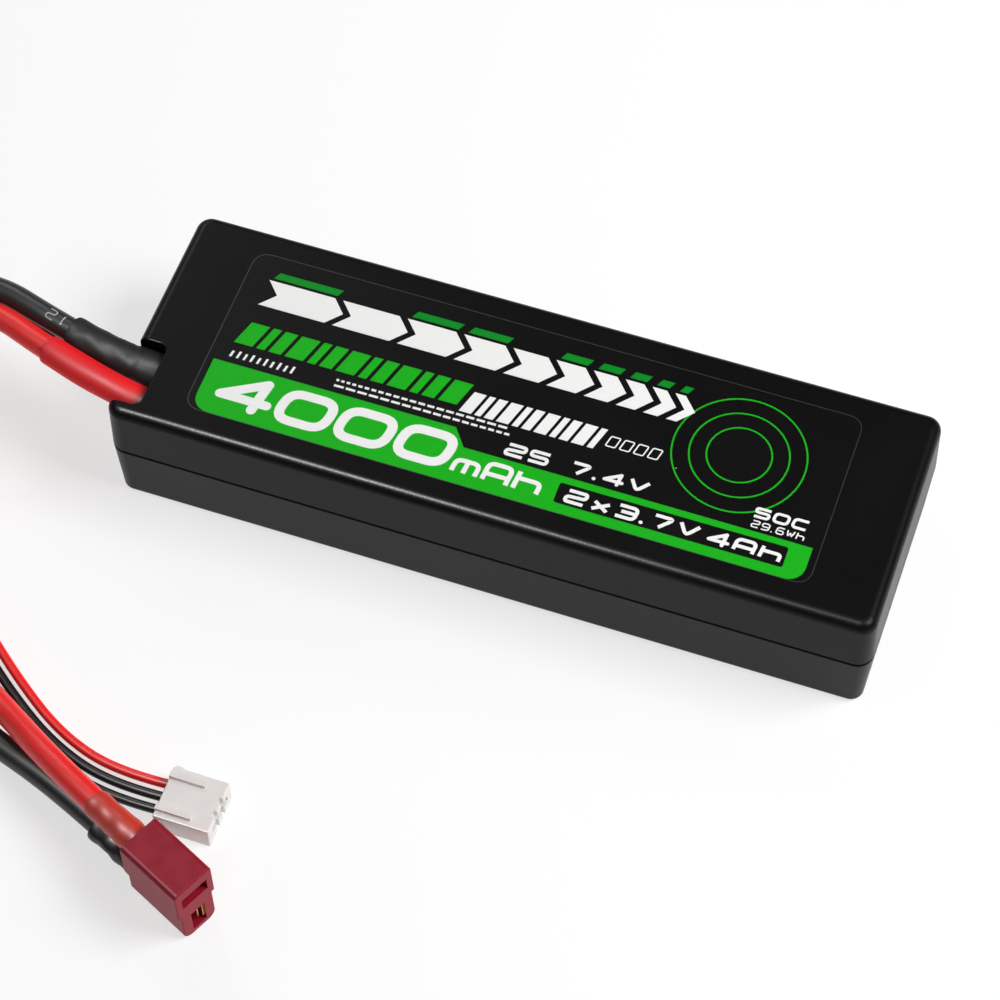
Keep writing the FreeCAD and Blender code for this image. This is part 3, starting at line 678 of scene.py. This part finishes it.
class StageSettings(bpy.types.PropertyGroup):
    """Camera, lights and floor"""

    floor_colour: FloatVectorProperty(
        name="Floor", description="Colour of the floor", default=(0.36, 0.36, 0.36), **COLOUR
    )
    key_power: FloatProperty(
        name="Key light", description="Power of the large light above", unit="POWER", min=0, default=4.6
    )
    edge_power: FloatProperty(
        name="Edge light", description="Power of the small light that draws the edges", unit="POWER", min=0,
        default=11.0,
    )
    back_power: FloatProperty(
        name="Back light", description="Power of the light behind", unit="POWER", min=0, default=1.1
    )
    room_light: FloatProperty(
        name="Room light", description="Strength of the light from all round", min=0, default=0.12
    )
    azimuth: FloatProperty(
        name="Azimuth", description="Where the camera stands round the pack", subtype="ANGLE",
        default=math.radians(19.796),
    )
    elevation: FloatProperty(
        name="Elevation", description="How steeply the camera looks down", subtype="ANGLE",
        default=math.radians(57.202),
    )
    roll: FloatProperty(
        name="Roll", description="Turn of the camera about its view", subtype="ANGLE",
        default=math.radians(-0.745),
    )
    distance: FloatProperty(
        name="Distance", description="From the camera to what it looks at", unit="LENGTH", default=0.55086
    )
    lens: FloatProperty(name="Lens", description="Focal length in millimetres", min=1, default=113.3)


class CaseSettings(bpy.types.PropertyGroup):
    """Look of the case"""

    colour: FloatVectorProperty(
        name="Case", description="Colour of the moulded case", default=tone(8, 8, 9), **COLOUR
    )
    roughness: FloatProperty(
        name="Roughness", description="How dull the case is", min=0, max=1, default=0.34
    )
    grain: FloatProperty(
        name="Grain", description="Size of the moulded texture", unit="LENGTH", default=0.28 * MM
    )


class LabelSettings(bpy.types.PropertyGroup):
    """Colours of the label"""

    film: FloatVectorProperty(
        name="Film", description="Colour of the label film", default=tone(4, 4, 4), **COLOUR
    )
    band: FloatVectorProperty(
        name="Band", description="Colour of the band and the green marks", **COLOUR,
        default=tone(22, 182, 24),
    )
    deep: FloatVectorProperty(
        name="Deep green", description="Colour of the shades behind the bars", **COLOUR,
        default=tone(0, 146, 36),
    )
    ink: FloatVectorProperty(
        name="Ink", description="Colour of the pale ink", default=tone(250, 250, 248), **COLOUR
    )


class LeadSettings(bpy.types.PropertyGroup):
    """Sizes and colours of the leads"""

    power_diameter: FloatProperty(
        name="Power lead", description="Diameter of a power lead", unit="LENGTH", default=4.5 * MM
    )
    balance_diameter: FloatProperty(
        name="Balance lead", description="Diameter of a balance lead", unit="LENGTH", default=1.7 * MM
    )
    red: FloatVectorProperty(
        name="Red", description="Colour of the red silicone", default=tone(246, 30, 28), **COLOUR
    )
    black: FloatVectorProperty(
        name="Black", description="Colour of the black silicone", default=tone(30, 30, 32), **COLOUR
    )
    sleeve_red: FloatVectorProperty(
        name="Red sleeve", description="Colour of the red sleeve at the case", **COLOUR,
        default=tone(240, 22, 30),
    )
    sides: IntProperty(name="Sides", description="Steps round a lead's quarter", min=2, default=8)


class PlugSettings(bpy.types.PropertyGroup):
    """Colours of the two plugs"""

    body: FloatVectorProperty(
        name="Power plug", description="Colour of the power plug", default=tone(148, 22, 44), **COLOUR
    )
    sleeve: FloatVectorProperty(
        name="Red plug sleeve", description="Colour of the sleeve on the red lead's end", **COLOUR,
        default=tone(196, 48, 28),
    )
    gold: FloatVectorProperty(
        name="Contacts", description="Colour of the gold plating", default=tone(214, 164, 74), **COLOUR
    )
    housing: FloatVectorProperty(
        name="Balance plug", description="Colour of the balance plug", default=tone(233, 231, 228), **COLOUR
    )


class PACK_OT_stage(bpy.types.Operator):
    """Make the camera, the pale floor and the soft lights"""

    bl_idname = "pack.stage"
    bl_label = "Stage"

    def execute(self, context):
        settings = context.scene.pack_stage
        self.make_camera(context, settings)
        self.make_floor(settings)
        self.make_light("key_light", KEY_PLACE, KEY_SIZE, settings.key_power)
        edge = self.make_light("edge_light", EDGE_PLACE, EDGE_SIZE, settings.edge_power)
        edge.visible_diffuse = False
        self.make_light("back_light", BACK_PLACE, BACK_SIZE, settings.back_power)
        world = bpy.data.worlds.new("studio")
        world.use_nodes = True
        background = world.node_tree.nodes["Background"]
        background.inputs["Color"].default_value = (1.0, 1.0, 1.0, 1.0)
        background.inputs["Strength"].default_value = settings.room_light
        context.scene.world = world
        context.scene.view_settings.view_transform = "Standard"
        return {"FINISHED"}

    def make_camera(self, context, settings):
        """Camera on a sphere round a point of the pack's front half."""
        around, up = settings.azimuth, settings.elevation
        back = Vector((math.sin(around) * math.cos(up), -math.cos(around) * math.cos(up), math.sin(up)))
        level = Vector((math.cos(around), math.sin(around), 0))
        above = back.cross(level)
        right = level * math.cos(settings.roll) + above * math.sin(settings.roll)
        above = above * math.cos(settings.roll) - level * math.sin(settings.roll)
        data = bpy.data.cameras.new("camera")
        data.lens = settings.lens
        camera = bpy.data.objects.new("camera", data)
        turn = Matrix((right, above, back)).transposed().to_4x4()
        camera.matrix_world = Matrix.Translation(Vector(AIM) + back * settings.distance) @ turn
        context.scene.collection.objects.link(camera)
        context.scene.camera = camera

    def make_floor(self, settings):
        """Wide level floor just under the pack."""
        built = bmesh.new()
        bmesh.ops.create_circle(built, cap_ends=True, radius=FLOOR_RADIUS, segments=96)
        mesh = bpy.data.meshes.new("floor")
        built.to_mesh(mesh)
        built.free()
        floor = bpy.data.objects.new("floor", mesh)
        floor.location.z = -FLOOR_DROP
        bpy.context.scene.collection.objects.link(floor)
        finish = Finish("floor_paper")
        cloud = finish.grain(60 * MM, 2.0)
        pale = tuple(settings.floor_colour)
        mesh.materials.append(
            finish.shade(
                Base_Color=finish.mixed(cloud, scaled(pale, 0.995), pale),
                Roughness=0.9,
                Specular_IOR_Level=0.1,
                Emission_Color=(1.0, 1.0, 1.0),
                Emission_Strength=FLOOR_GLOW,
            )
        )

    def make_light(self, name, place, size, power):
        """Rectangular soft light turned to the pack."""
        data = bpy.data.lights.new(name, "AREA")
        data.shape = "RECTANGLE"
        data.size, data.size_y = size
        data.energy = power
        light = bpy.data.objects.new(name, data)
        light.location = place
        light.rotation_euler = (-Vector(place)).to_track_quat("-Z", "Y").to_euler()
        bpy.context.scene.collection.objects.link(light)
        return light


class PACK_OT_leads(bpy.types.Operator):
    """Make the two power leads and the three balance leads"""

    bl_idname = "pack.leads"
    bl_label = "Leads"

    def execute(self, context):
        settings = context.scene.pack_leads
        red = rubbery("silicone_red", settings.red, 0.36, 0.5)
        black = rubbery("silicone_black", settings.black, 0.36, 0.6)
        thin_red = rubbery("thin_lead_red", settings.red, 0.32, 0.3)
        thin_black = rubbery("thin_lead_black", scaled(settings.black, 0.7), 0.3, 0.3)
        thick, thin = settings.power_diameter, settings.balance_diameter
        self.lay("power_lead_red", POWER_RED_ROUTE, thick, red, "silicone_red")
        self.lay("power_lead_black", POWER_BLACK_ROUTE, thick, black, "silicone_black")
        self.lay("balance_lead_positive", BALANCE_POSITIVE_ROUTE, thin, thin_red, "thin_lead_red")
        self.lay("balance_lead_middle", BALANCE_MIDDLE_ROUTE, thin, thin_black, "thin_lead_black")
        self.lay("balance_lead_negative", BALANCE_NEGATIVE_ROUTE, thin, thin_black, "thin_lead_black")
        dress(red, "inner_lead_red")
        dress(black, "inner_lead_black")
        dress(thin_red, "inner_balance_lead_positive", "balance_lead_positive")
        dress(thin_black, "inner_balance_lead_middle", "inner_balance_lead_negative")
        return {"FINISHED"}

    def lay(self, node, route, diameter, material, slot):
        """One lead as a smooth curve through its route's control points."""
        sides = bpy.context.scene.pack_leads.sides
        data = bpy.data.curves.new(node + "_line", "CURVE")
        data.dimensions = "3D"
        spline = data.splines.new("NURBS")
        spline.points.add(len(route) - 1)
        for point, place in zip(spline.points, route):
            point.co = (*place, 1.0)
        spline.order_u = 3
        spline.use_endpoint_u = True
        spline.resolution_u = 14
        data.bevel_depth = diameter / 2
        data.bevel_resolution = sides
        data.use_fill_caps = True
        data.materials.append(material)
        lead = bpy.data.objects.new(node + "_curve", data)
        bpy.context.scene.collection.objects.link(lead)
        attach(lead, "pack")
        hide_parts(node)


class PACK_OT_entry_sleeves(bpy.types.Operator):
    """Make the shrink sleeves at the case and finish the sealant"""

    bl_idname = "pack.entry_sleeves"
    bl_label = "Sleeves at the case"

    def execute(self, context):
        settings = context.scene.pack_leads
        radius = settings.power_diameter / 2
        red = rubbery("sleeve_red", settings.sleeve_red, 0.52, 0.3, 0.22)
        black = rubbery("sleeve_black", scaled(settings.black, 0.55), 0.56, 0.5, 0.25)
        self.make("red", red, radius, self.red_skin)
        self.make("black", black, radius, self.black_skin)
        dress(moulded("sealant", tone(28, 28, 30), 0.5, 1.2 * MM, 0.05 * MM), "lead_seal")
        return {"FINISHED"}

    def make(self, colour, material, radius, skin):
        """One sleeve over the start of its lead."""
        node = "entry_sleeve_" + colour
        wall = ENTRY_WALLS[colour]
        run = Run(bpy.data.objects["power_lead_" + colour + "_curve"])
        end = run.distance_at(0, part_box(node)[0].x)
        mesh = sleeve_mesh(
            node + "_shrunk", run, 0.0, end, radius - SLEEVE_HOLD,
            lambda share, angle: radius + skin(wall, share, angle),
        )
        piece = new_piece(node + "_shrunk", mesh, material, "sleeve_" + colour)
        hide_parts(node)

    def red_skin(self, wall, share, angle):
        """Snug sleeve with a slightly open end."""
        ripple = 0.03 * MM * math.sin(share * 11 + 2 * angle)
        return wall * (0.62 + 0.1 * share) + ripple

    def black_skin(self, wall, share, angle):
        """Loose sleeve that wrinkles where the lead bends at the notch."""
        bend_at, bend_spread = 0.34, 0.12
        bend = math.exp(-((share - bend_at) / bend_spread) ** 2)
        fold = 0.05 * MM * math.sin(share * 60 + math.sin(angle) * 2.2) * bend
        bulge = 0.8 * MM * math.exp(-(share / bend_at) ** 2) * max(0.0, math.cos(angle - 0.5))
        crumple = 0.16 * MM * noise.noise(Vector((share * 7, math.cos(angle) * 1.5, math.sin(angle) * 1.5)))
        return wall * 0.92 + bulge + fold + crumple


class PACK_OT_lead_marks(bpy.types.Operator):
    """Print the wire gauge numerals on the black power lead"""

    bl_idname = "pack.lead_marks"
    bl_label = "Lead marks"

    def execute(self, context):
        settings = context.scene.pack_leads
        run = Run(bpy.data.objects["power_lead_black_curve"])
        radius = settings.power_diameter / 2
        start = run.distance_at(0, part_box("entry_sleeve_black")[0].x) + MARK_START
        material = inked("lead_ink", tone(196, 198, 202), 0.5)
        for index in range(MARK_COUNT):
            middle = start + index * MARK_PITCH
            if middle < run.length - MARK_END:
                self.mark(index + 1, run, middle, radius, material)
        return {"FINISHED"}

    def mark(self, number, run, start, radius, material):
        """One pair of numerals wrapped round the lead's upper side."""

        def wrapped(x, y, z):
            distance = start + x * MM
            side, up = run.across(distance)
            angle = MARK_TURN + y * MM / radius
            return run.spot(distance) + (side * math.cos(angle) + up * math.sin(angle)) * (radius + z)

        ink = Printing(MARK_ROOT, MARK_RISE, wrapped)
        ink.text("12", 0, -1.1, 2.1, 1.8, 1.0, 0.22)
        name = "gauge_mark_" + str(number)
        ink.finish(name, material, "silicone_black")


class PACK_OT_power_plug(bpy.types.Operator):
    """Finish the power plug and make the sleeves on the power leads' ends"""

    bl_idname = "pack.power_plug"
    bl_label = "Power plug"

    def execute(self, context):
        settings = context.scene.pack_plugs
        radius = context.scene.pack_leads.power_diameter / 2
        red = rubbery("plug_sleeve_red", settings.sleeve, 0.42, 0.3)
        self.sleeve("red", red, radius, self.red_skin, 1.0)
        black = rubbery("plug_sleeve_black", scaled(context.scene.pack_leads.black, 0.8), 0.3, 0.5)
        self.sleeve("black", black, radius, self.black_skin, 0.9)
        dress(self.nylon(settings.body), "power_plug_body")
        dress(metallic("gold", tuple(settings.gold), 0.24, 0.004 * MM), *nodes_of("gold"))
        dress(metallic("solder", tone(186, 186, 184), 0.36, 0.02 * MM), *nodes_of("solder"))
        return {"FINISHED"}

    def nylon(self, colour):
        """Moulded nylon with faint flow lines."""
        finish = Finish("plug_nylon")
        fine = finish.grain(0.22 * MM, 3.0, 0.6)
        flow = finish.grain(2.4 * MM, 3.0, 0.5, (1.0, 1.0, 0.35))
        colours = finish.mixed(flow, scaled(colour, 0.86), scaled(colour, 1.18))
        return finish.shade(
            Base_Color=colours,
            Roughness=0.4 + (flow - 0.5) * 0.15 + (fine - 0.5) * 0.1,
            Specular_IOR_Level=0.12,
            Normal=finish.bumped(fine + flow * 2, 0.006 * MM),
        )

    def sleeve(self, colour, material, radius, skin, flat):
        """One sleeve from the lead over the solder joint to the plug."""
        node = "plug_sleeve_" + colour
        run = Run(bpy.data.objects["power_lead_" + colour + "_curve"], OVER_JOINT)
        start = run.length - PLUG_SLEEVE_LENGTH
        mesh = sleeve_mesh(
            node + "_shrunk", run, start, run.length - PLUG_GAP, radius - SLEEVE_HOLD,
            lambda share, angle: radius + skin(share, angle), flat,
        )
        piece = new_piece(node + "_shrunk", mesh, material, slot_of(node))
        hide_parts(node)

    def red_skin(self, share, angle):
        """Thin snug sleeve that swells a little over the joint."""
        swell = math.exp(-((share - 0.72) / 0.2) ** 2)
        ripple = 0.04 * MM * math.sin(share * 19 + angle * 2)
        return 0.26 * MM + 0.2 * MM * swell + ripple

    def black_skin(self, share, angle):
        """Pinched sleeve with folds where it was squeezed."""
        fold = 0.16 * MM * math.sin(share * 21 + math.cos(angle) * 1.6)
        crumple = 0.22 * MM * noise.noise(Vector((share * 5, math.cos(angle) * 1.2, math.sin(angle) * 1.2)))
        return 0.38 * MM + fold * share + crumple


class PACK_OT_balance_plug(bpy.types.Operator):
    """Finish the balance plug and its contacts"""

    bl_idname = "pack.balance_plug"
    bl_label = "Balance plug"

    def execute(self, context):
        colour = tuple(context.scene.pack_plugs.housing)
        finish = Finish("white_nylon")
        fine = finish.grain(0.2 * MM, 3.0, 0.6)
        flow = finish.grain(2.0 * MM, 2.0)
        dress(
            finish.shade(
                Base_Color=finish.mixed(flow, scaled(colour, 0.93), colour),
                Roughness=0.38 + (flow - 0.5) * 0.14 + (fine - 0.5) * 0.08,
                Subsurface_Weight=0.2,
                Subsurface_Scale=1.0 * MM,
                Normal=finish.bumped(fine + flow, 0.005 * MM),
            ),
            "balance_plug_housing",
        )
        dress(metallic("tin_plate", tone(196, 196, 194), 0.3, 0.006 * MM), *nodes_of("tin_plate"))
        return {"FINISHED"}


class PACK_OT_case(bpy.types.Operator):
    """Finish the two halves of the case"""

    bl_idname = "pack.case"
    bl_label = "Case"

    def execute(self, context):
        settings = context.scene.pack_case
        colour = tuple(settings.colour)
        depth, dust, gloss = 0.016 * MM, 0.10, 0.12
        material = moulded("case_plastic", colour, settings.roughness, settings.grain, depth, dust, gloss)
        dress(material, "bottom_case", "top_case")
        return {"FINISHED"}


class PACK_OT_label(bpy.types.Operator):
    """Finish the label film and print the band, numerals, bars and rings"""

    bl_idname = "pack.label"
    bl_label = "Label"

    def execute(self, context):
        settings = context.scene.pack_label
        self.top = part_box("top_label")[1].z
        film = moulded("label_film", tuple(settings.film), 0.34, 0.5 * MM, 0.002 * MM, 0.05, 0.16)
        dress(film, "top_label")
        white = inked("label_ink_white", tuple(settings.ink), 0.10)
        green = inked("label_ink_green", tuple(settings.band), 0.30, 0.16)
        deep = inked("label_ink_deep_green", tuple(settings.deep), 0.30, 0.16)
        edge = inked("label_edge_line", tone(44, 44, 45), 0.3)
        self.print_edge(edge)
        self.print_rings(green)
        self.print_band(green, film)
        self.print_bars(white, green, deep)
        self.print_numerals(white)
        self.print_small_marks(white)
        return {"FINISHED"}

    def layer(self, level):
        """Printing on the film, one level above another."""
        return Printing(self.top - INK_ROOT, self.top + level * LAYER)

    def print_edge(self, ink):
        """Thin paler line where the film's cut edge catches light."""
        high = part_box("top_label")[1]
        x, y = high.x / MM - EDGE_INSET, high.y / MM - EDGE_INSET
        border = self.layer(0.6)
        corners = [(-x, -y), (x, -y), (x, y), (-x, y)]
        border.stroke(rounded_stroke(corners, EDGE_CORNER, True), EDGE_PEN, True)
        border.finish("label_edge", ink, "label_film")

    def print_rings(self, ink):
        """Three plain rings about one centre."""
        rings = self.layer(1)
        for radius in RING_RADII:
            rings.ring(RING_CENTRE, radius, RING_PEN)
        rings.finish("label_rings", ink, "label_film")

    def print_band(self, ink, film):
        """Stepped band along the front edge with a dark window in it."""
        band = self.layer(1.4)
        outline = [(-BAND_END, BAND_HIGH_LEFT), *self.round_corner((-BAND_END, BAND_LOW), (0, 1), (1, 0))]
        outline += [*self.round_corner((BAND_END, BAND_LOW), (-1, 0), (0, 1)), (BAND_END, BAND_HIGH_RIGHT)]
        band.area(outline + BAND_STEP)
        band.finish("label_band", ink, "label_film")
        window = self.layer(2.4)
        window.area(rounded_stroke(WINDOW, 0.5, True))
        window.finish("label_window", film, "label_film")

    def round_corner(self, corner, to_first, to_last):
        """Points of a quarter round at a corner of the band."""
        corner = Vector(corner)
        first = corner + Vector(to_first) * BAND_CORNER
        last = corner + Vector(to_last) * BAND_CORNER
        middle = first + last - corner
        made = []
        for step in range(QUARTER_STEPS + 1):
            angle = math.pi / 2 * step / QUARTER_STEPS
            made.append(middle + (first - middle) * math.cos(angle) + (last - middle) * math.sin(angle))
        return made

    def print_bars(self, white, green, deep):
        """Rows of arrowheads and leaning bars that get narrower to the right."""
        large = self.layer(3)
        shade = self.layer(2)
        left = ARROWS_LEFT
        for width in ARROW_WIDTHS:
            large.arrow(left, width, ARROWS_LOW, ARROWS_HIGH, ARROW_POINT)
            if width not in UNSHADED_WIDTHS:
                shade.bar(left + 0.6, left + width + 0.2, SHADE_LOW, SHADE_HIGH, SHADE_LEAN)
            left += width + ARROW_GAP
        large.finish("label_arrows", white, "label_film")
        shade.finish("label_arrow_shades", deep, "label_film")
        heavy = self.layer(3)
        left = BARS_LEFT
        for index in range(GREEN_BARS):
            width = GREEN_WIDTHS[index % 3]
            heavy.bar(left, left + width, GREEN_LOW, GREEN_HIGH, BAR_LEAN)
            left += width + GREEN_GAP
        heavy.finish("label_bars_green", green, "label_film")
        light = self.layer(3)
        for index in range(WHITE_BARS):
            width = WHITE_WIDTHS[index % 3]
            light.bar(left, left + width, WHITE_LOW, WHITE_HIGH, BAR_LEAN)
            left += width + WHITE_GAP
        light.finish("label_bars_white", white, "label_film")
        fine = self.layer(3)
        for index in range(OPEN_BARS):
            x = OPEN_LEFT + index * OPEN_PITCH
            corners = [(x, -1.9), (x + 1.7, -1.9), (x + 2.2, 0.2), (x + 0.5, 0.2)]
            fine.stroke(rounded_stroke(corners, 0.3, True), OPEN_PEN, True)
        fine.finish("label_bars_outline", white, "label_film")

    def print_numerals(self, ink):
        """Ratings in wide rounded numerals."""
        large = self.layer(4)
        large.text("4000", -52.0, -15.6, 7.6, 10.3, 0.6, 1.75, 0.14, 0.34)
        large.text("MAH", -8.2, -15.6, 4.4, 5.0, 0.5, 0.85, 0.08, 0.26)
        large.finish("label_capacity", ink, "label_film")
        ratings = self.layer(4)
        ratings.text("2S", -0.6, -9.3, 2.7, 3.7, 0.5, 0.62, 0.1)
        ratings.text("7.4V", 11.0, -9.3, 2.7, 3.7, 0.6, 0.62, 0.1)
        ratings.text("50C", 43.2, -7.6, 2.2, 2.9, 0.4, 0.52, 0.1)
        ratings.text("29.6WH", 43.4, -9.6, 1.5, 1.45, 0.32, 0.24, 0.1)
        ratings.finish("label_ratings", ink, "label_film")
        boxed = self.layer(4.6)
        boxed.text("2X3.7V", 12.0, -15.1, 2.9, 3.9, 0.6, 0.66, 0.1)
        boxed.text("4AH", 37.2, -15.1, 2.9, 3.9, 0.6, 0.66, 0.1)
        boxed.finish("label_boxed_ratings", ink, "label_film")

    def print_small_marks(self, ink):
        """Rows of short dashes and ticks."""
        marks = self.layer(3)
        for row in range(DASH_ROWS):
            left = DASH_LEFT
            high = DASH_TOP - row * DASH_DROP
            index = 0
            while left < DASH_RIGHT:
                width = 0.5 + 1.5 * abs(math.sin(3.1 * index + row))
                marks.bar(left, left + width, high - DASH_HEIGHT, high, 0.0)
                left += width + DASH_GAP
                index += 1
        for index in range(TICKS):
            left = TICK_LEFT + index * TICK_PITCH
            marks.bar(left, left + TICK_WIDTH, TICK_LOW, TICK_HIGH + 0.2 * (index % 2), 0.15)
        marks.finish("label_small_marks", ink, "label_film")


class PACK_OT_cells(bpy.types.Operator):
    """Finish the cells with their tabs, films, tape, band and link"""

    bl_idname = "pack.cells"
    bl_label = "Cells"

    def execute(self, context):
        dress(creased_foil("pouch_foil", tone(205, 207, 211)), *nodes_of("pouch_foil"))
        for kind, slot, colour, roughness, depth in (
            (filmed, "tape_white", (226, 226, 220), 0.5, 0.01),
            (filmed, "polyimide", (186, 112, 28), 0.2, 0.01),
            (filmed, "tab_film", (214, 212, 200), 0.4, 0.01),
            (filmed, "fibre_sheet", (96, 132, 100), 0.7, 0.02),
            (metallic, "nickel", (190, 184, 172), 0.32, 0.008),
            (metallic, "tab_aluminium", (208, 208, 210), 0.36, 0.008),
        ):
            dress(kind(slot, tone(*colour), roughness, depth * MM), *nodes_of(slot))
        return {"FINISHED"}


class PACK_OT_tab_board(bpy.types.Operator):
    """Finish the tab board, its pads and the bare cores"""

    bl_idname = "pack.tab_board"
    bl_label = "Tab board"

    def execute(self, context):
        dress(self.board(), "tab_board")
        dress(metallic("copper", tone(206, 134, 92), 0.3, 0.006 * MM), *nodes_of("copper"))
        dress(metallic("tinned_core", tone(190, 190, 188), 0.38, 0.03 * MM), *nodes_of("tinned_core"))
        return {"FINISHED"}

    def board(self):
        """Green mask over a woven glass board."""
        finish = Finish("board_green")
        threads = {"Vector": finish.place, "Scale": 400.0, "Distortion": 1.0}
        weave = finish.node("ShaderNodeTexWave", {"bands_direction": "Z"}, threads, 1)
        cloud = finish.grain(4 * MM)
        return finish.shade(
            Base_Color=finish.mixed(weave * 0.4 + cloud * 0.3, tone(14, 88, 44), tone(40, 128, 66)),
            Roughness=0.3 + (cloud - 0.5) * 0.1,
            Normal=finish.bumped(weave, 0.01 * MM),
        )


class PACK_OT_packing(bpy.types.Operator):
    """Finish the foam"""

    bl_idname = "pack.packing"
    bl_label = "Foam"

    def execute(self, context):
        dress(foamed("foam", tone(112, 112, 114)), *nodes_of("foam"))
        return {"FINISHED"}


class PACK_OT_declare_leads(bpy.types.Operator):
    """Gather each lead's pieces and measure the lead along its curve; nothing is kept"""

    bl_idname = "pack.declare_leads"
    bl_label = "Declare leads"

    def execute(self, context):
        settings = context.scene.pack_leads
        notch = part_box("lead_seal")[0].x
        for colour, route in (("red", POWER_RED_ROUTE), ("black", POWER_BLACK_ROUTE)):
            pieces = ["entry_sleeve_" + colour + "_shrunk", "plug_sleeve_" + colour + "_shrunk"]
            pieces += [stem + colour for stem in ("plug_solder_", "plug_contact_", "contact_leaf_")]
            pieces.append("power_plug_body")
            if colour == "black":
                pieces += [piece.name for piece in bpy.data.objects if "gauge_mark" in piece.name]
            self.declare("power_lead_" + colour, route, notch, settings.power_diameter, pieces)
        ways = (
            ("positive", BALANCE_POSITIVE_ROUTE, 3),
            ("middle", BALANCE_MIDDLE_ROUTE, 2),
            ("negative", BALANCE_NEGATIVE_ROUTE, 1),
        )
        for name, route, way in ways:
            pieces = ["balance_plug_housing", "balance_contact_" + str(way)]
            self.declare("balance_lead_" + name, route, notch, settings.balance_diameter, pieces)
        return {"FINISHED"}

    def declare(self, node, route, notch, diameter, pieces):
        """Measure one lead along its curve; the result is not kept."""
        lead = bpy.data.objects[node + "_curve"]
        Run(lead).length


class PACK_PT_panel(bpy.types.Panel):
    """Steps and settings of the pack"""

    bl_label = "Lithium pack"
    bl_idname = "PACK_PT_panel"
    bl_space_type = "VIEW_3D"
    bl_region_type = "UI"
    bl_category = "Pack"

    def draw(self, context):
        for operator in OPERATORS:
            self.layout.operator(operator.bl_idname)
        for name, group in SETTINGS:
            box = self.layout.box()
            for prop in group.__annotations__:
                box.prop(getattr(context.scene, name), prop)


OPERATORS = (
    PACK_OT_stage,
    PACK_OT_leads,
    PACK_OT_entry_sleeves,
    PACK_OT_lead_marks,
    PACK_OT_power_plug,
    PACK_OT_balance_plug,
    PACK_OT_case,
    PACK_OT_label,
    PACK_OT_cells,
    PACK_OT_tab_board,
    PACK_OT_packing,
    PACK_OT_declare_leads,
)
SETTINGS = (
    ("pack_stage", StageSettings),
    ("pack_case", CaseSettings),
    ("pack_label", LabelSettings),
    ("pack_leads", LeadSettings),
    ("pack_plugs", PlugSettings),
)


def register():
    """Add the settings, the steps and the panel."""
    for name, group in SETTINGS:
        bpy.utils.register_class(group)
        setattr(bpy.types.Scene, name, PointerProperty(type=group))
    for operator in OPERATORS:
        bpy.utils.register_class(operator)
    bpy.utils.register_class(PACK_PT_panel)


def unregister():
    """Take them away again."""
    bpy.utils.unregister_class(PACK_PT_panel)
    for operator in reversed(OPERATORS):
        bpy.utils.unregister_class(operator)
    for name, group in reversed(SETTINGS):
        delattr(bpy.types.Scene, name)
        bpy.utils.unregister_class(group)


def main():
    """Make everything in order."""
    register()
    for operator in OPERATORS:
        group, step = operator.bl_idname.split(".")
        getattr(getattr(bpy.ops, group), step)()


if __name__ == "__main__":
    main()
